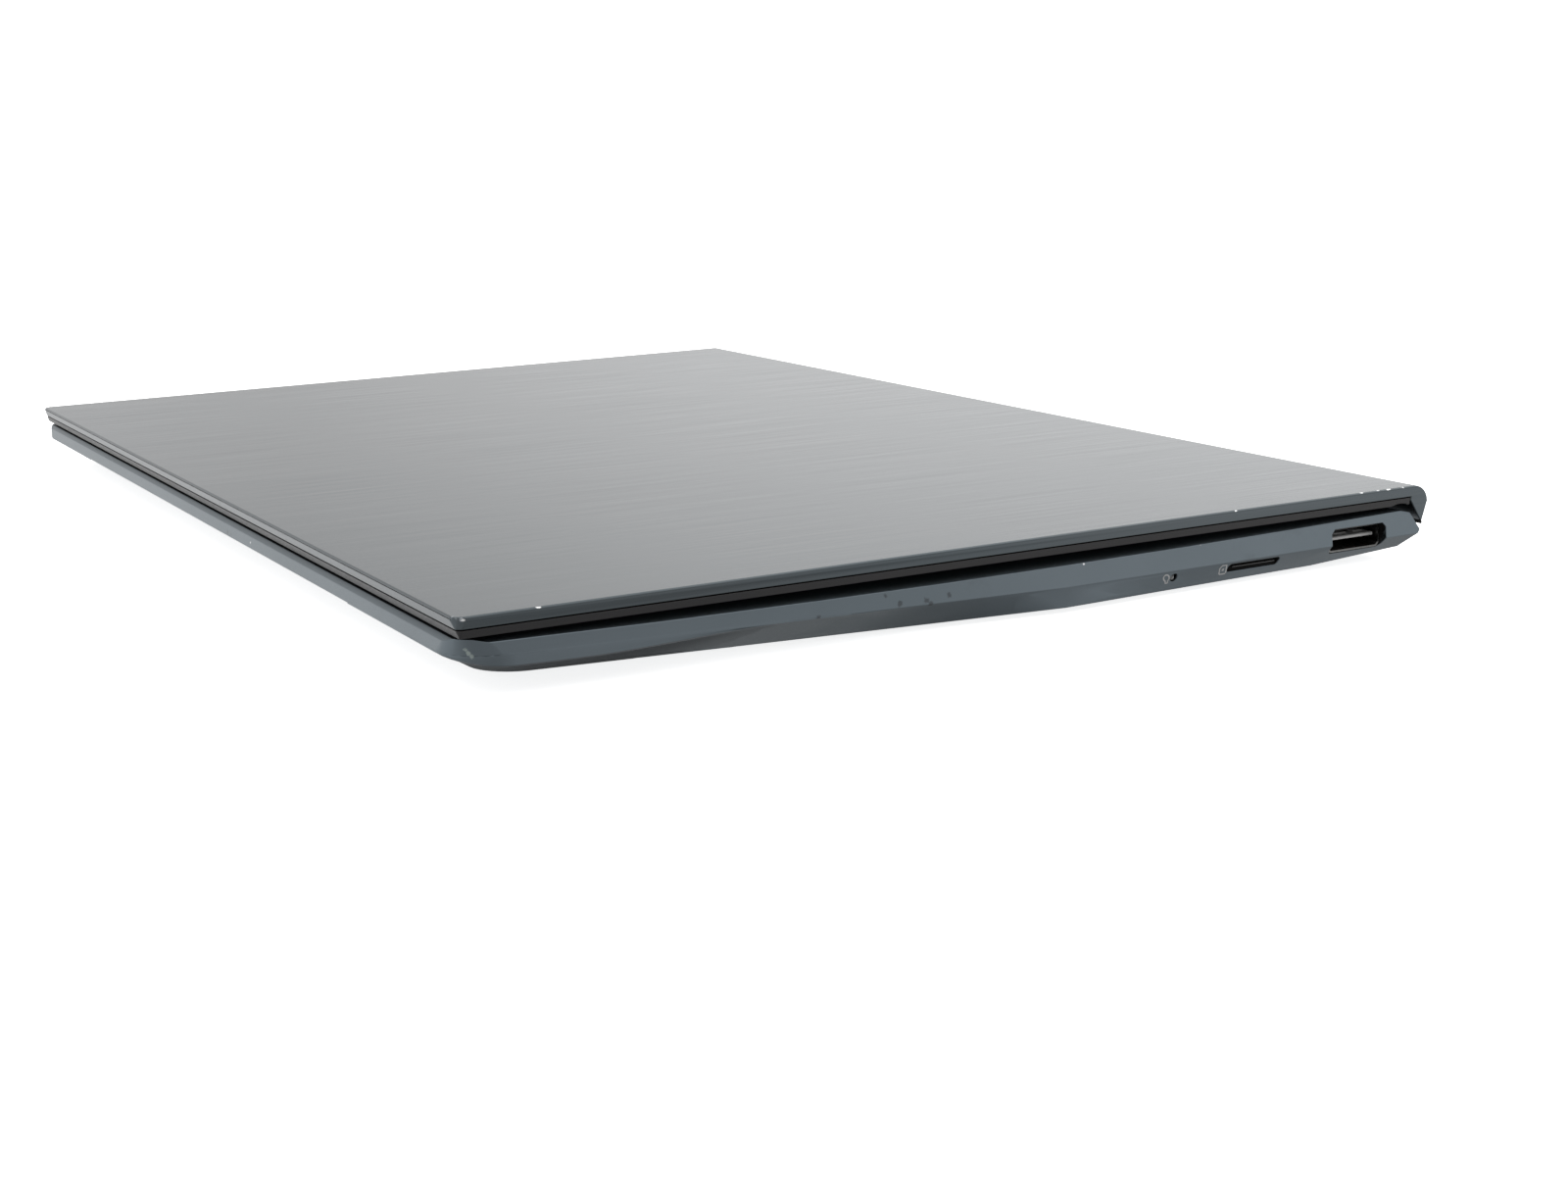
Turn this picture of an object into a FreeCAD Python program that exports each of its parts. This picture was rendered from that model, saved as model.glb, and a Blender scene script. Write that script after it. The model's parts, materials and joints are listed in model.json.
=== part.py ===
import FreeCAD, Part
import math
import os

V = FreeCAD.Vector

# Overall sizes of the closed computer, in millimetres
width = 304.0
depth = 203.0
foot_height = 1.1
base_height = 9.7
lid_gap = 0.5
lid_height = 3.7

# Outline of the base
base_corner_radius = 6.0
base_corner_crease_radius = 9.0
base_corner_low_radius = 26.0
rear_end_radius = 0.6
corner_sides = 32
base_side_inset = 0.4
base_side_lean = 0.5
crease_height_front = 6.8
crease_height_middle = 3.95
crease_height_rear = 4.3
bevel_inset_front = 16.2
bevel_inset_middle = 0.7
bevel_inset_rear = 5.4
bevel_middle_margin = 85.5
front_bevel_run = 11.0
side_overrun = 1.0
edge_dip_depth = 2.1
edge_dip_width = 3.0
edge_dip_sag = 0.94
edge_dip_front = 0.95
case_wall = 1.3
deck_thickness = 1.2
bottom_plate = 1.0
seam_clearance = 0.12
cover_rear_margin = 13.0
cover_inset = 8.9
cover_corner_radius = 9.0

# Rear edge and hinge line
hinge_setback = 7.0
hinge_height = 5.0
rear_tip_radius = 5.2
lip_clearance = 0.4
rear_corner_radius = 4.5
rear_low_angle = -55.0
rear_top_angle = 53.0
rear_slope_run = 9.0
rear_relief_run = 26.0
exhaust_slot_count = 12
exhaust_slot_width = 1.8
exhaust_slot_pitch = 3.4
exhaust_slot_height = 2.0
exhaust_slot_drop = 2.8

# Lid
lid_corner_radius = 3.0
lid_front_lean = 1.2
lid_side_lean = 0.6
lid_edge_chamfer = 0.35
lid_rear_round = 4.6
lid_rear_drop = 3.4
lid_lip_drop = 7.4
lid_lip_tip = 0.7
lid_lip_slant = 36.5
bezel_thickness = 1.5
lid_skin = 1.0
lid_wall = 1.6
screen_side_margin = 5.0
screen_top_margin = 8.6
screen_hinge_margin = 28.8
panel_margin = 1.6
panel_thickness = 1.3
bezel_front_skin = 0.8
fit_clearance = 0.15
camera_diameter = 3.0
camera_board_length = 46.0
camera_board_height = 3.6
camera_board_thickness = 0.9
gasket_width = 1.2
gasket_height = 0.3
gasket_inset = 1.6
antenna_length = 40.0
antenna_height = 3.4
antenna_thickness = 0.4
antenna_place = 74.0
lid_foot_length = 70.0
lid_foot_height = 0.25
lid_foot_place = 62.0
lid_foot_width = 0.6

# Hinges
hinge_margin_side = 42.0
arm_width = 8.0
arm_thickness = 3.2
arm_boss_radius = 2.6
arm_leaf_length = 17.0
arm_leaf_thickness = 0.9
pin_radius = 1.5
pin_length = 12.0
pin_clearance = 0.05
barrel_wall = 1.2
bracket_reach = 5.2
bracket_drop = 1.0
notch_clearance = 0.8

# Keyboard
keyboard_side_margin = 16.6
keyboard_units = 15.0
key_row_pitch = 18.2
function_row_pitch = 12.6
key_gap = 2.4
key_clearance = 0.45
key_height = 1.9
key_travel = 1.4
key_edge_chamfer = 0.35
keyboard_rear_margin = 19.0
keyboard_well_depth = 0.4
keyboard_well_margin = 2.6
plate_clearance = 0.4
plate_thickness = 0.8
plate_margin = 1.6
plate_rim = 1.0

# Touchpad
touchpad_width = 129.0
touchpad_front_margin = 9.5
touchpad_rear_margin = 6.0
touchpad_thickness = 1.0
touchpad_recess = 0.1
touchpad_clearance = 0.35
touchpad_travel = 0.3
touchpad_rest_gap = 0.15
touchpad_shelf = 3.0
touchpad_tray_wall = 1.2
touchpad_tray_floor = 0.8

# Connectors
port_setback = 1.9
port_depth = 5.2
usb_margin_rear = 17.2
usb_width = 13.1
usb_height = 4.7
usb_depth = 11.2
usb_middle_height = 4.8
usb_tongue_thickness = 1.5
card_margin_rear = 42.4
card_width = 12.0
card_slot_height = 1.4
card_depth = 12.0
card_middle_height = 2.75
lamp_margin_rear = 61.3
lamp_diameter = 1.3
lamp_height = 2.6
lamp_length = 7.0
hdmi_margin_rear = 23.5
hdmi_width = 15.0
hdmi_height = 5.2
hdmi_depth = 11.5
hdmi_middle_height = 4.8
hdmi_tongue_thickness = 1.0
type_c_width = 9.0
type_c_height = 3.2
type_c_depth = 8.4
type_c_margin_rear = 45.5
type_c_pitch = 17.0
type_c_middle_height = 4.2
type_c_corner = 1.3
type_c_tongue_thickness = 0.7
socket_shell = 0.35
socket_corner = 0.8
card_corner = 0.4

# Underside
foot_width = 9.0
front_foot_length = 34.0
front_foot_inset = 46.0
front_foot_margin = 29.0
foot_end_clip = 2.6
rear_foot_inset = 34.0
rear_foot_margin = 31.0
screw_head_radius = 2.3
screw_shank_radius = 1.0
screw_head_height = 0.5
screw_length = 3.0
screw_margin_side = 26.0
screw_margin_front = 20.0
screw_margin_rear = 26.0
screw_margin_touchpad = 12.0
screw_margin_processor = 20.0
screw_boss_radius = 2.8
small_round_sides = 12
vent_slot_count = 26
vent_slot_width = 2.2
vent_slot_length = 14.0
vent_slot_pitch = 5.2
vent_margin_rear = 46.0
speaker_slot_count = 8
speaker_slot_width = 1.3
speaker_slot_length = 13.0
speaker_slot_pitch = 2.6
speaker_margin_side = 40.5
speaker_margin_front = 50.0

# Inside the base
battery_side_gap = 6.0
battery_thickness = 3.2
battery_cell_count = 4
battery_wall = 0.6
battery_margin_front = 24.0
board_side_gap = 2.3
board_fan_gap = 8.6
board_margin_rear = 17.5
board_depth = 62.0
board_thickness = 1.0
board_lift = 1.0
chip_height = 0.8
processor_size = 25.0
memory_count = 4
memory_width = 9.0
memory_depth = 14.0
memory_pitch = 12.0
fan_radius = 21.0
fan_margin_side = 80.0
fan_margin_rear = 40.0
fan_intake_radius = 13.0
fan_outlet_width = 32.0
fan_blade_sweep = 35.0
fan_thickness = 3.6
fan_wall = 0.4
fan_blade_count = 19
fan_sides = 24
fan_hub_radius = 8.0
fan_axle_radius = 1.0
fan_blade_thickness = 0.45
fan_run_gap = 0.5
fin_count = 22
fin_lift = 1.3
fin_pitch = 1.7
fin_thickness = 0.5
fin_depth = 9.0
pipe_width = 7.0
pipe_thickness = 1.0
pipe_clearance = 0.25
pipe_bend_radius = 8.0
processor_inset_side = 62.0
processor_inset_front = 34.0
speaker_length = 40.0
speaker_depth = 15.0
speaker_thickness = 3.0
speaker_corner = 2.0
card_module_width = 22.0
card_module_length = 60.0
card_module_gap = 4.0
storage_place = 40.0
wireless_place = -60.0
floor_clearance = 0.3
wireless_length = 30.0

# Levels and places worked out from the sizes above
z_bottom = foot_height
z_seam = z_bottom + bottom_plate
z_deck = z_bottom + base_height
z_deck_under = z_deck - deck_thickness
z_lid = z_deck + lid_gap
z_lid_seam = z_lid + bezel_thickness
z_top = z_lid + lid_height
half = width / 2.0
front = -depth / 2.0
rear = depth / 2.0
hinge_y = rear - hinge_setback
hinge_z = z_bottom + hinge_height
base_half = half - base_side_inset
groove_radius = rear_tip_radius + lip_clearance
cover_rear = rear - cover_rear_margin
keyboard_half = base_half - keyboard_side_margin
key_pitch = 2.0 * keyboard_half / keyboard_units
keyboard_rear = rear - keyboard_rear_margin
keyboard_front = keyboard_rear - function_row_pitch - 5.0 * key_row_pitch
arrow_front = keyboard_front + key_gap / 2.0
touchpad_near = front + touchpad_front_margin
touchpad_far = keyboard_front - touchpad_rear_margin
bevel_middle_place = rear - bevel_middle_margin
hinge_place = half - hinge_margin_side
usb_place = rear - usb_margin_rear
card_place = rear - card_margin_rear
lamp_place = rear - lamp_margin_rear
hdmi_place = rear - hdmi_margin_rear
type_c_first_place = rear - type_c_margin_rear
speaker_place = half - speaker_margin_side
fan_place = fan_margin_side - half
fan_y = rear - fan_margin_rear
board_left = fan_place + fan_radius + fan_wall + board_fan_gap
board_right = base_half - port_setback - max(usb_depth, card_depth) - board_side_gap
board_front = rear - board_margin_rear - board_depth
battery_rear = board_front - card_module_width - 2.0 * card_module_gap
battery_front = front + battery_margin_front
battery_half = speaker_place - speaker_depth / 2.0 - battery_side_gap
processor_x = board_left + processor_inset_side
processor_y = board_front + processor_inset_front
z_plate = z_deck - key_height - key_travel - plate_clearance
z_pipe = z_plate - plate_thickness - pipe_clearance - pipe_thickness
z_floor = z_seam + floor_clearance
z_touchpad_shelf = z_deck - touchpad_recess - touchpad_thickness - touchpad_travel - touchpad_rest_gap
bezel_rear = rear - lid_rear_round
camera_y = front + (screen_top_margin + lid_front_lean) / 2.0


def box(x0, x1, y0, y1, z0, z1):
    """Block between two corners."""
    return Part.makeBox(x1 - x0, y1 - y0, z1 - z0, V(x0, y0, z0))


def rounded_block(x0, x1, y0, y1, z0, z1, radius):
    """Block with its four upright edges rounded."""
    block = box(x0, x1, y0, y1, z0, z1)
    upright = [e for e in block.Edges if e.BoundBox.ZLength > (z1 - z0) / 2.0]
    return block.makeFillet(radius, upright)


def prism_along_x(points, x0, x1):
    """Outline of (y, z) points drawn out along X."""
    wire = Part.makePolygon([V(x0, y, z) for y, z in points + points[:1]])
    return Part.Face(wire).extrude(V(x1 - x0, 0, 0))


def prism_along_y(points, y0, y1):
    """Outline of (x, z) points drawn out along Y."""
    wire = Part.makePolygon([V(x, y0, z) for x, z in points + points[:1]])
    return Part.Face(wire).extrude(V(0, y1 - y0, 0))


def rod_along_x(radius, x0, x1, y, z):
    """Round bar along X."""
    return Part.makeCylinder(radius, abs(x1 - x0), V(min(x0, x1), y, z), V(1, 0, 0))


def rod_along_z(radius, z0, z1, x, y):
    """Round bar along Z."""
    return Part.makeCylinder(radius, z1 - z0, V(x, y, z0), V(0, 0, 1))


def plan_block(x, y0, y1, z0, z1, front_radius):
    """Block as wide as the computer, with rounded front corners and crisp rear ends."""
    block = box(-x, x, y0, y1, z0, z1)
    for y, radius in ((y0, front_radius), (y1, rear_end_radius)):
        corners = [e for e in block.Edges if e.BoundBox.ZLength > z1 - z0 - fit_clearance
                   and abs(e.BoundBox.Center.y - y) < fit_clearance]
        block = block.makeFillet(radius, corners)
    return block


def ring(radius, sides, a, b):
    """Corners of a regular outline round a place."""
    step = 2.0 * math.pi / sides
    return [(a + radius * math.cos(step * i), b + radius * math.sin(step * i)) for i in range(sides)]


def post_along_z(radius, z0, z1, x, y, sides=small_round_sides):
    """Upright bar or hole with few sides."""
    rim = [V(a, b, z0) for a, b in ring(radius, sides, x, y)]
    return Part.Face(Part.makePolygon(rim + rim[:1])).extrude(V(0, 0, z1 - z0))


def bar_along_x(radius, x0, x1, y, z):
    """Small bar or hole along X with few sides."""
    return prism_along_x(ring(radius, small_round_sides, y, z), x0, x1)


def clipped_block(x0, x1, y0, y1, z0, z1, clip):
    """Block with its four upright edges clipped."""
    block = box(x0, x1, y0, y1, z0, z1)
    upright = [e for e in block.Edges if e.BoundBox.ZLength > (z1 - z0) / 2.0]
    return block.makeChamfer(clip, upright)


def mirrored(shape):
    """The same shape on the other side of the computer."""
    return shape.mirror(V(0, 0, 0), V(1, 0, 0))


def joined(shapes):
    """One solid out of several that touch or overlap."""
    return shapes[0].fuse(shapes[1:]).removeSplitter()


def round_hinge(radius, angle):
    """Point (y, z) at a distance and a direction from the hinge line."""
    turn = math.radians(angle)
    return (hinge_y + radius * math.cos(turn), hinge_z + radius * math.sin(turn))


def write(name, shape):
    """Keep one sub-part as a solid or a group of solids."""
    solids = shape.Solids
    kept = solids[0] if len(solids) == 1 else Part.makeCompound(solids)
    kept.exportStep(os.path.join("parts", name + ".step"))


def base_section(place, crease, inset, wall, z_up):
    """Cross-section of the base: bevel and upper side face, drawn on past the underside and the deck."""
    side = base_half - wall
    z_low = z_bottom - side_overrun
    z_crease = z_bottom + crease
    z_over = z_up + side_overrun
    low = side - inset * (z_crease - z_low) / crease
    up = side - base_side_lean * (z_over - z_crease) / (z_up - z_crease)
    points = [(-low, z_low), (low, z_low), (side, z_crease), (up, z_over), (-up, z_over), (-side, z_crease)]
    corners = [V(x, place, z) for x, z in points]
    return Part.makePolygon(corners + corners[:1])


def base_form(wall, z_up):
    """Base body drawn in by a wall: side bevels, front bevel, rear edge and plan corners."""
    sections = [
        base_section(front - side_overrun, crease_height_front, bevel_inset_front, wall, z_up),
        base_section(bevel_middle_place, crease_height_middle, bevel_inset_middle, wall, z_up),
        base_section(rear + side_overrun, crease_height_rear, bevel_inset_rear, wall, z_up),
    ]
    sides = Part.makeLoft(sections, True, True)
    outline = [
        (front + base_side_lean + wall, z_up),
        (front + wall, z_bottom + crease_height_front),
        (front + front_bevel_run + wall, z_bottom),
        (rear - rear_relief_run, z_bottom),
        round_hinge(rear_corner_radius - wall, rear_low_angle),
        round_hinge(rear_tip_radius - wall, 0.0),
        round_hinge(rear_corner_radius - wall, rear_top_angle),
        (rear - rear_slope_run - wall, z_up),
    ]
    profile = prism_along_x(outline, -half, half)
    plan = plan_block(base_half - wall, front + wall, rear, 0.0, z_top, rear_end_radius)
    corner = front_corner(wall)
    return sides.common(profile).common(plan).cut([corner, mirrored(corner)])


def front_corner(wall):
    """What the rounded front right corner leaves off: its radius grows towards the underside."""
    levels = [
        (z_lid, base_half - base_side_lean, front + base_side_lean, base_corner_radius),
        (z_bottom + crease_height_front, base_half, front, base_corner_crease_radius),
        (z_bottom, base_half - bevel_inset_front, front + front_bevel_run, base_corner_low_radius),
        (0.0, base_half - bevel_inset_front, front + front_bevel_run, base_corner_low_radius),
    ]
    squares = []
    rounds = []
    for z, x_side, y_front, radius in levels:
        x, y = x_side - radius, y_front + radius
        x_out, y_out = half + radius, front - radius
        corners = [V(x, y, z), V(x, y_out, z), V(x_out, y_out, z), V(x_out, y, z)]
        squares.append(Part.makePolygon(corners + corners[:1]))
        rim = [V(a, b, z) for a, b in ring(radius - wall, corner_sides, x, y)]
        rounds.append(Part.makePolygon(rim + rim[:1]))
    return Part.makeLoft(squares, True, True).cut(Part.makeLoft(rounds, True, True))


def edge_dip():
    """Long shallow hollow that lowers the side edge of the deck between its ends."""
    reach = depth / 2.0 - base_corner_radius
    radius = (reach * reach + edge_dip_sag * edge_dip_sag) / (2.0 * edge_dip_sag)
    tilt = math.atan2(edge_dip_depth, edge_dip_width)
    along = V(math.cos(tilt), 0, -math.sin(tilt))
    upward = V(math.sin(tilt), 0, math.cos(tilt))
    middle = V(base_half, 0, z_deck - edge_dip_depth)
    length = 2.0 * edge_dip_width
    start = middle + upward * radius - along * length
    return Part.makeCylinder(radius, 2.0 * length, start, along)


def front_dip():
    """Slope that lowers the front edge of the deck as far as the side edges at the corners."""
    slope = edge_dip_depth / edge_dip_width
    near = front - side_overrun
    outline = [
        (near, z_deck - edge_dip_front - side_overrun * slope),
        (front + edge_dip_front / slope, z_deck),
        (front + edge_dip_front / slope, z_lid),
        (near, z_lid),
    ]
    return prism_along_x(outline, -half, half)


def hinge_notch(grow):
    """Room at the rear edge for one hinge arm to swing."""
    reach = arm_width / 2.0 + notch_clearance + grow
    start = hinge_y - arm_boss_radius - notch_clearance - grow
    return box(hinge_place - reach, hinge_place + reach, start, rear + case_wall, 0.0, z_lid)


def key_rows():
    """Keys as (node, left, right, front, rear), row by row from the rear."""
    rows = [
        [("function_keys", 1.0)] * 14 + [("power_key", 1.0)],
        [("number_keys", 1.0)] * 13 + [("backspace_key", 2.0)],
        [("tab_key", 1.5)] + [("top_letter_keys", 1.0)] * 12 + [("top_letter_keys", 1.5)],
        [("caps_lock_key", 1.75)] + [("middle_letter_keys", 1.0)] * 11 + [("enter_key", 2.25)],
        [("left_shift_key", 2.25)] + [("lower_letter_keys", 1.0)] * 10 + [("right_shift_key", 2.75)],
        [("modifier_keys", 1.25)] + [("modifier_keys", 1.0)] * 2
        + [("modifier_keys", 1.25), ("space_key", 5.5)] + [("modifier_keys", 1.0)] * 2
        + [("left_arrow_key", 1.0), ("up_arrow_key", 1.0), ("right_arrow_key", 1.0)],
    ]
    keys = []
    row_rear = keyboard_rear
    for number, row in enumerate(rows):
        row_depth = function_row_pitch if number == 0 else key_row_pitch
        left = -keyboard_half
        for name, units in row:
            right = left + units * key_pitch
            near = row_rear - row_depth + key_gap / 2.0
            far = row_rear - key_gap / 2.0
            middle = (near + far) / 2.0
            if name == "up_arrow_key":
                keys.append(("down_arrow_key", left + key_gap / 2.0, right - key_gap / 2.0,
                             near, middle - key_clearance))
                near = middle + key_clearance
            keys.append((name, left + key_gap / 2.0, right - key_gap / 2.0, near, far))
            left = right
        row_rear = row_rear - row_depth
    return keys


def key_outline(x0, x1, y0, y1, z, inset):
    """Rectangle at one level of a key."""
    corners = [V(x0 + inset, y0 + inset, z), V(x1 - inset, y0 + inset, z),
               V(x1 - inset, y1 - inset, z), V(x0 + inset, y1 - inset, z)]
    return Part.makePolygon(corners + corners[:1])


def key_cap(x0, x1, y0, y1):
    """Key cap with a chamfered top edge."""
    outlines = [
        key_outline(x0, x1, y0, y1, z_deck - key_height, 0.0),
        key_outline(x0, x1, y0, y1, z_deck - key_edge_chamfer, 0.0),
        key_outline(x0, x1, y0, y1, z_deck, key_edge_chamfer),
    ]
    return Part.makeLoft(outlines, True, True)


def keyboard_holes():
    """Well round the keys and one hole for each key."""
    cuts = [rounded_block(-keyboard_half - keyboard_well_margin, keyboard_half + keyboard_well_margin,
                          keyboard_front - keyboard_well_margin, keyboard_rear + keyboard_well_margin,
                          z_deck - keyboard_well_depth, z_lid, keyboard_well_margin)]
    for name, x0, x1, y0, y1 in key_rows():
        if name == "down_arrow_key":
            continue
        low = arrow_front if name == "up_arrow_key" else y0
        cuts.append(box(x0 - key_clearance, x1 + key_clearance, low - key_clearance, y1 + key_clearance,
                        z_deck_under - deck_thickness, z_lid))
    return cuts


def touchpad_outline(grow, z0, z1):
    """Block over the touchpad's place, wider by a margin all round."""
    side = touchpad_width / 2.0 + grow
    return box(-side, side, touchpad_near - grow, touchpad_far + grow, z0, z1)


def front_screw_places():
    """Screws along the front of the bottom cover."""
    outer = half - screw_margin_side
    inner = touchpad_width / 2.0 + screw_margin_touchpad
    return [(x, front + screw_margin_front) for x in (-outer, -inner, inner, outer)]


def rear_screw_places():
    """Screws along the rear of the bottom cover."""
    outer = half - screw_margin_side
    inner = processor_x - screw_margin_processor
    return [(x, rear - screw_margin_rear) for x in (-outer, inner, outer)]


def boss(place, z_up):
    """Screw post standing on the bottom cover, with its bore."""
    x, y = place
    post = post_along_z(screw_boss_radius, z_seam, z_up, x, y)
    z_bore = z_seam + screw_length + fit_clearance
    bore = post_along_z(screw_shank_radius + fit_clearance, z_seam, z_bore, x, y)
    return post.cut(bore)


def port_hole(place, wide, high, middle, corner):
    """Cut through the right side wall for a connector, with clipped corners."""
    side = wide / 2.0 + fit_clearance
    rise = high / 2.0 + fit_clearance
    z_mid = z_bottom + middle
    hole = box(base_half - port_depth, half, place - side, place + side, z_mid - rise, z_mid + rise)
    return hole.makeChamfer(corner, [e for e in hole.Edges if e.BoundBox.XLength > port_depth / 2.0])


def type_c_places():
    """The two small reversible sockets on the left side."""
    return [type_c_first_place, type_c_first_place - type_c_pitch]


def exhaust_slots():
    """Row of air slots through the rear edge behind the fins."""
    slots = []
    for number in range(exhaust_slot_count):
        x = fan_place + (number - (exhaust_slot_count - 1) / 2.0) * exhaust_slot_pitch
        z = hinge_z - exhaust_slot_drop
        side = exhaust_slot_width / 2.0
        slots.append(box(x - side, x + side, hinge_y, rear, z, z + exhaust_slot_height))
    return slots


def cover_room(grow):
    """Room the bottom cover takes up in plan, with rounded front corners."""
    x = base_half - cover_inset + grow
    near = front + cover_inset - grow
    room = box(-x, x, near, cover_rear + grow, 0.0, z_bottom + crease_height_front)
    corners = [e for e in room.Edges if e.BoundBox.ZLength > z_bottom and e.BoundBox.Center.y < 0.0]
    return room.makeFillet(cover_corner_radius + grow, corners)


def cavity(z_low):
    """Hollow of the base above a level."""
    return base_form(case_wall, z_deck_under).common(box(-half, half, front, rear, z_low, z_deck))


def top_case():
    """Deck and side walls in one shell, with the keyboard grid, touchpad tray and hinge pockets."""
    dip = edge_dip()
    outer = base_form(0.0, z_deck).cut([dip, mirrored(dip), front_dip()])
    shell = outer.cut([cover_room(seam_clearance), cavity(z_seam)])
    pocket = outer.common(hinge_notch(case_wall))
    tray = touchpad_outline(touchpad_clearance + touchpad_tray_wall,
                            z_touchpad_shelf - touchpad_tray_floor, z_deck_under)
    bosses = [boss(place, z_deck_under) for place in front_screw_places()]
    case = joined([shell, pocket, mirrored(pocket), tray] + bosses)
    notch = hinge_notch(0.0)
    pin_way = bar_along_x(pin_radius + lip_clearance, hinge_place - arm_width - case_wall, hinge_place,
                          hinge_y, hinge_z)
    lamp_way = bar_along_x(lamp_diameter / 2.0 + fit_clearance, base_half - lamp_length, half,
                           lamp_place, z_bottom + lamp_height)
    cuts = keyboard_holes() + exhaust_slots()
    cuts += [notch, mirrored(notch), pin_way, mirrored(pin_way), lamp_way]
    cuts.append(touchpad_outline(touchpad_clearance, z_touchpad_shelf, z_lid))
    cuts.append(touchpad_outline(-touchpad_shelf, 0.0, z_lid))
    cuts.append(port_hole(usb_place, usb_width, usb_height, usb_middle_height, socket_corner))
    cuts.append(port_hole(card_place, card_width, card_slot_height, card_middle_height, card_corner))
    cuts.append(mirrored(port_hole(hdmi_place, hdmi_width, hdmi_height, hdmi_middle_height, socket_corner)))
    for place in type_c_places():
        hole = port_hole(place, type_c_width, type_c_height, type_c_middle_height, type_c_corner)
        cuts.append(mirrored(hole))
    return case.cut(cuts)


def bottom_cover():
    """Screwed plate that closes the base and turns up at the bevels, with intake and speaker slots."""
    plate = base_form(0.0, z_deck).common(cover_room(0.0)).cut(cavity(z_seam - seam_clearance))
    cuts = []
    for number in range(vent_slot_count):
        x = (number - (vent_slot_count - 1) / 2.0) * vent_slot_pitch
        y = rear - vent_margin_rear
        cuts.append(box(x - vent_slot_width / 2.0, x + vent_slot_width / 2.0,
                        y - vent_slot_length / 2.0, y + vent_slot_length / 2.0, 0.0, z_seam))
    for side in (-1.0, 1.0):
        for number in range(speaker_slot_count):
            y = front + speaker_margin_front + (number - (speaker_slot_count - 1) / 2.0) * speaker_slot_pitch
            x = side * speaker_place
            cuts.append(box(x - speaker_slot_length / 2.0, x + speaker_slot_length / 2.0,
                            y - speaker_slot_width / 2.0, y + speaker_slot_width / 2.0, 0.0, z_seam))
    for x, y in front_screw_places() + rear_screw_places():
        z_head = z_bottom + screw_head_height + fit_clearance
        cuts.append(post_along_z(screw_shank_radius + fit_clearance, 0.0, z_seam, x, y))
        cuts.append(post_along_z(screw_head_radius + fit_clearance, 0.0, z_head, x, y))
    return plate.cut(cuts)


def bottom_screws():
    """The screws of the bottom cover, heads sunk level with it."""
    screws = []
    for x, y in front_screw_places() + rear_screw_places():
        z_head = z_bottom + fit_clearance
        head = post_along_z(screw_head_radius, z_head, z_head + screw_head_height, x, y)
        shank = post_along_z(screw_shank_radius, z_head, z_seam + screw_length, x, y)
        screws.append(joined([head, shank]))
    return Part.makeCompound(screws)


def front_feet():
    """Two rubber pads near the front edge."""
    y = front + front_foot_margin
    x = half - front_foot_inset
    foot = clipped_block(x - front_foot_length / 2.0, x + front_foot_length / 2.0,
                         y - foot_width / 2.0, y + foot_width / 2.0, 0.0, z_bottom, foot_end_clip)
    return Part.makeCompound([foot, mirrored(foot)])


def rear_foot():
    """One long rubber strip near the rear edge."""
    y = rear - rear_foot_margin
    return clipped_block(rear_foot_inset - half, half - rear_foot_inset,
                         y - foot_width / 2.0, y + foot_width / 2.0, 0.0, z_bottom, foot_end_clip)


def keyboard_plate():
    """Tray under the keys, hung from the deck, with the rear screw posts."""
    x = keyboard_half + plate_margin
    near = keyboard_front - plate_margin
    far = keyboard_rear + plate_margin
    outer = box(-x - plate_rim, x + plate_rim, near - plate_rim, far + plate_rim,
                z_plate - plate_thickness, z_deck_under)
    tray = outer.cut(box(-x, x, near, far, z_plate, z_deck))
    return joined([tray] + [boss(place, z_plate - plate_thickness) for place in rear_screw_places()])


def touchpad():
    """Glass-topped plate that dips when it is pressed."""
    z_up = z_deck - touchpad_recess
    return touchpad_outline(0.0, z_up - touchpad_thickness, z_up)


def lid_form():
    """Whole lid with leaning edges, rounded rear and the lip over the hinge."""
    z_lip = z_top - lid_lip_drop
    z_edge = z_top - lid_edge_chamfer
    lean = lid_front_lean / lid_height
    round_start = V(0, rear - lid_rear_round, z_top)
    round_end = V(0, rear, z_top - lid_rear_drop)
    lip_side = [round_end, V(0, rear - lid_lip_tip, z_lip), V(0, hinge_y, z_lip), V(0, hinge_y, z_lid)]
    front_side = [V(0, front + lid_front_lean, z_lid), V(0, front + lean * lid_edge_chamfer, z_edge),
                  V(0, front + lid_edge_chamfer, z_top), round_start]
    straight = Part.makePolygon(lip_side + front_side).Edges
    rear_round = Part.Arc(round_start, V(0, *lid_round_point()), round_end).toShape()
    profile = Part.Face(Part.Wire(straight + [rear_round])).extrude(V(width, 0, 0))
    profile.translate(V(-half, 0, 0))
    z_low = z_lip - lid_height
    low = half - lid_side_lean * (z_top - z_low) / lid_height
    edge = half - lid_side_lean * lid_edge_chamfer / lid_height
    section = [(-low, z_low), (low, z_low), (edge, z_edge), (half - lid_edge_chamfer, z_top),
               (lid_edge_chamfer - half, z_top), (-edge, z_edge)]
    plan = plan_block(half, front, rear, z_low, z_top, lid_corner_radius)
    lid = profile.common(prism_along_y(section, front, rear)).common(plan)
    return lid.cut([rod_along_x(groove_radius, -half, half, hinge_y, hinge_z), lip_room()])


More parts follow.
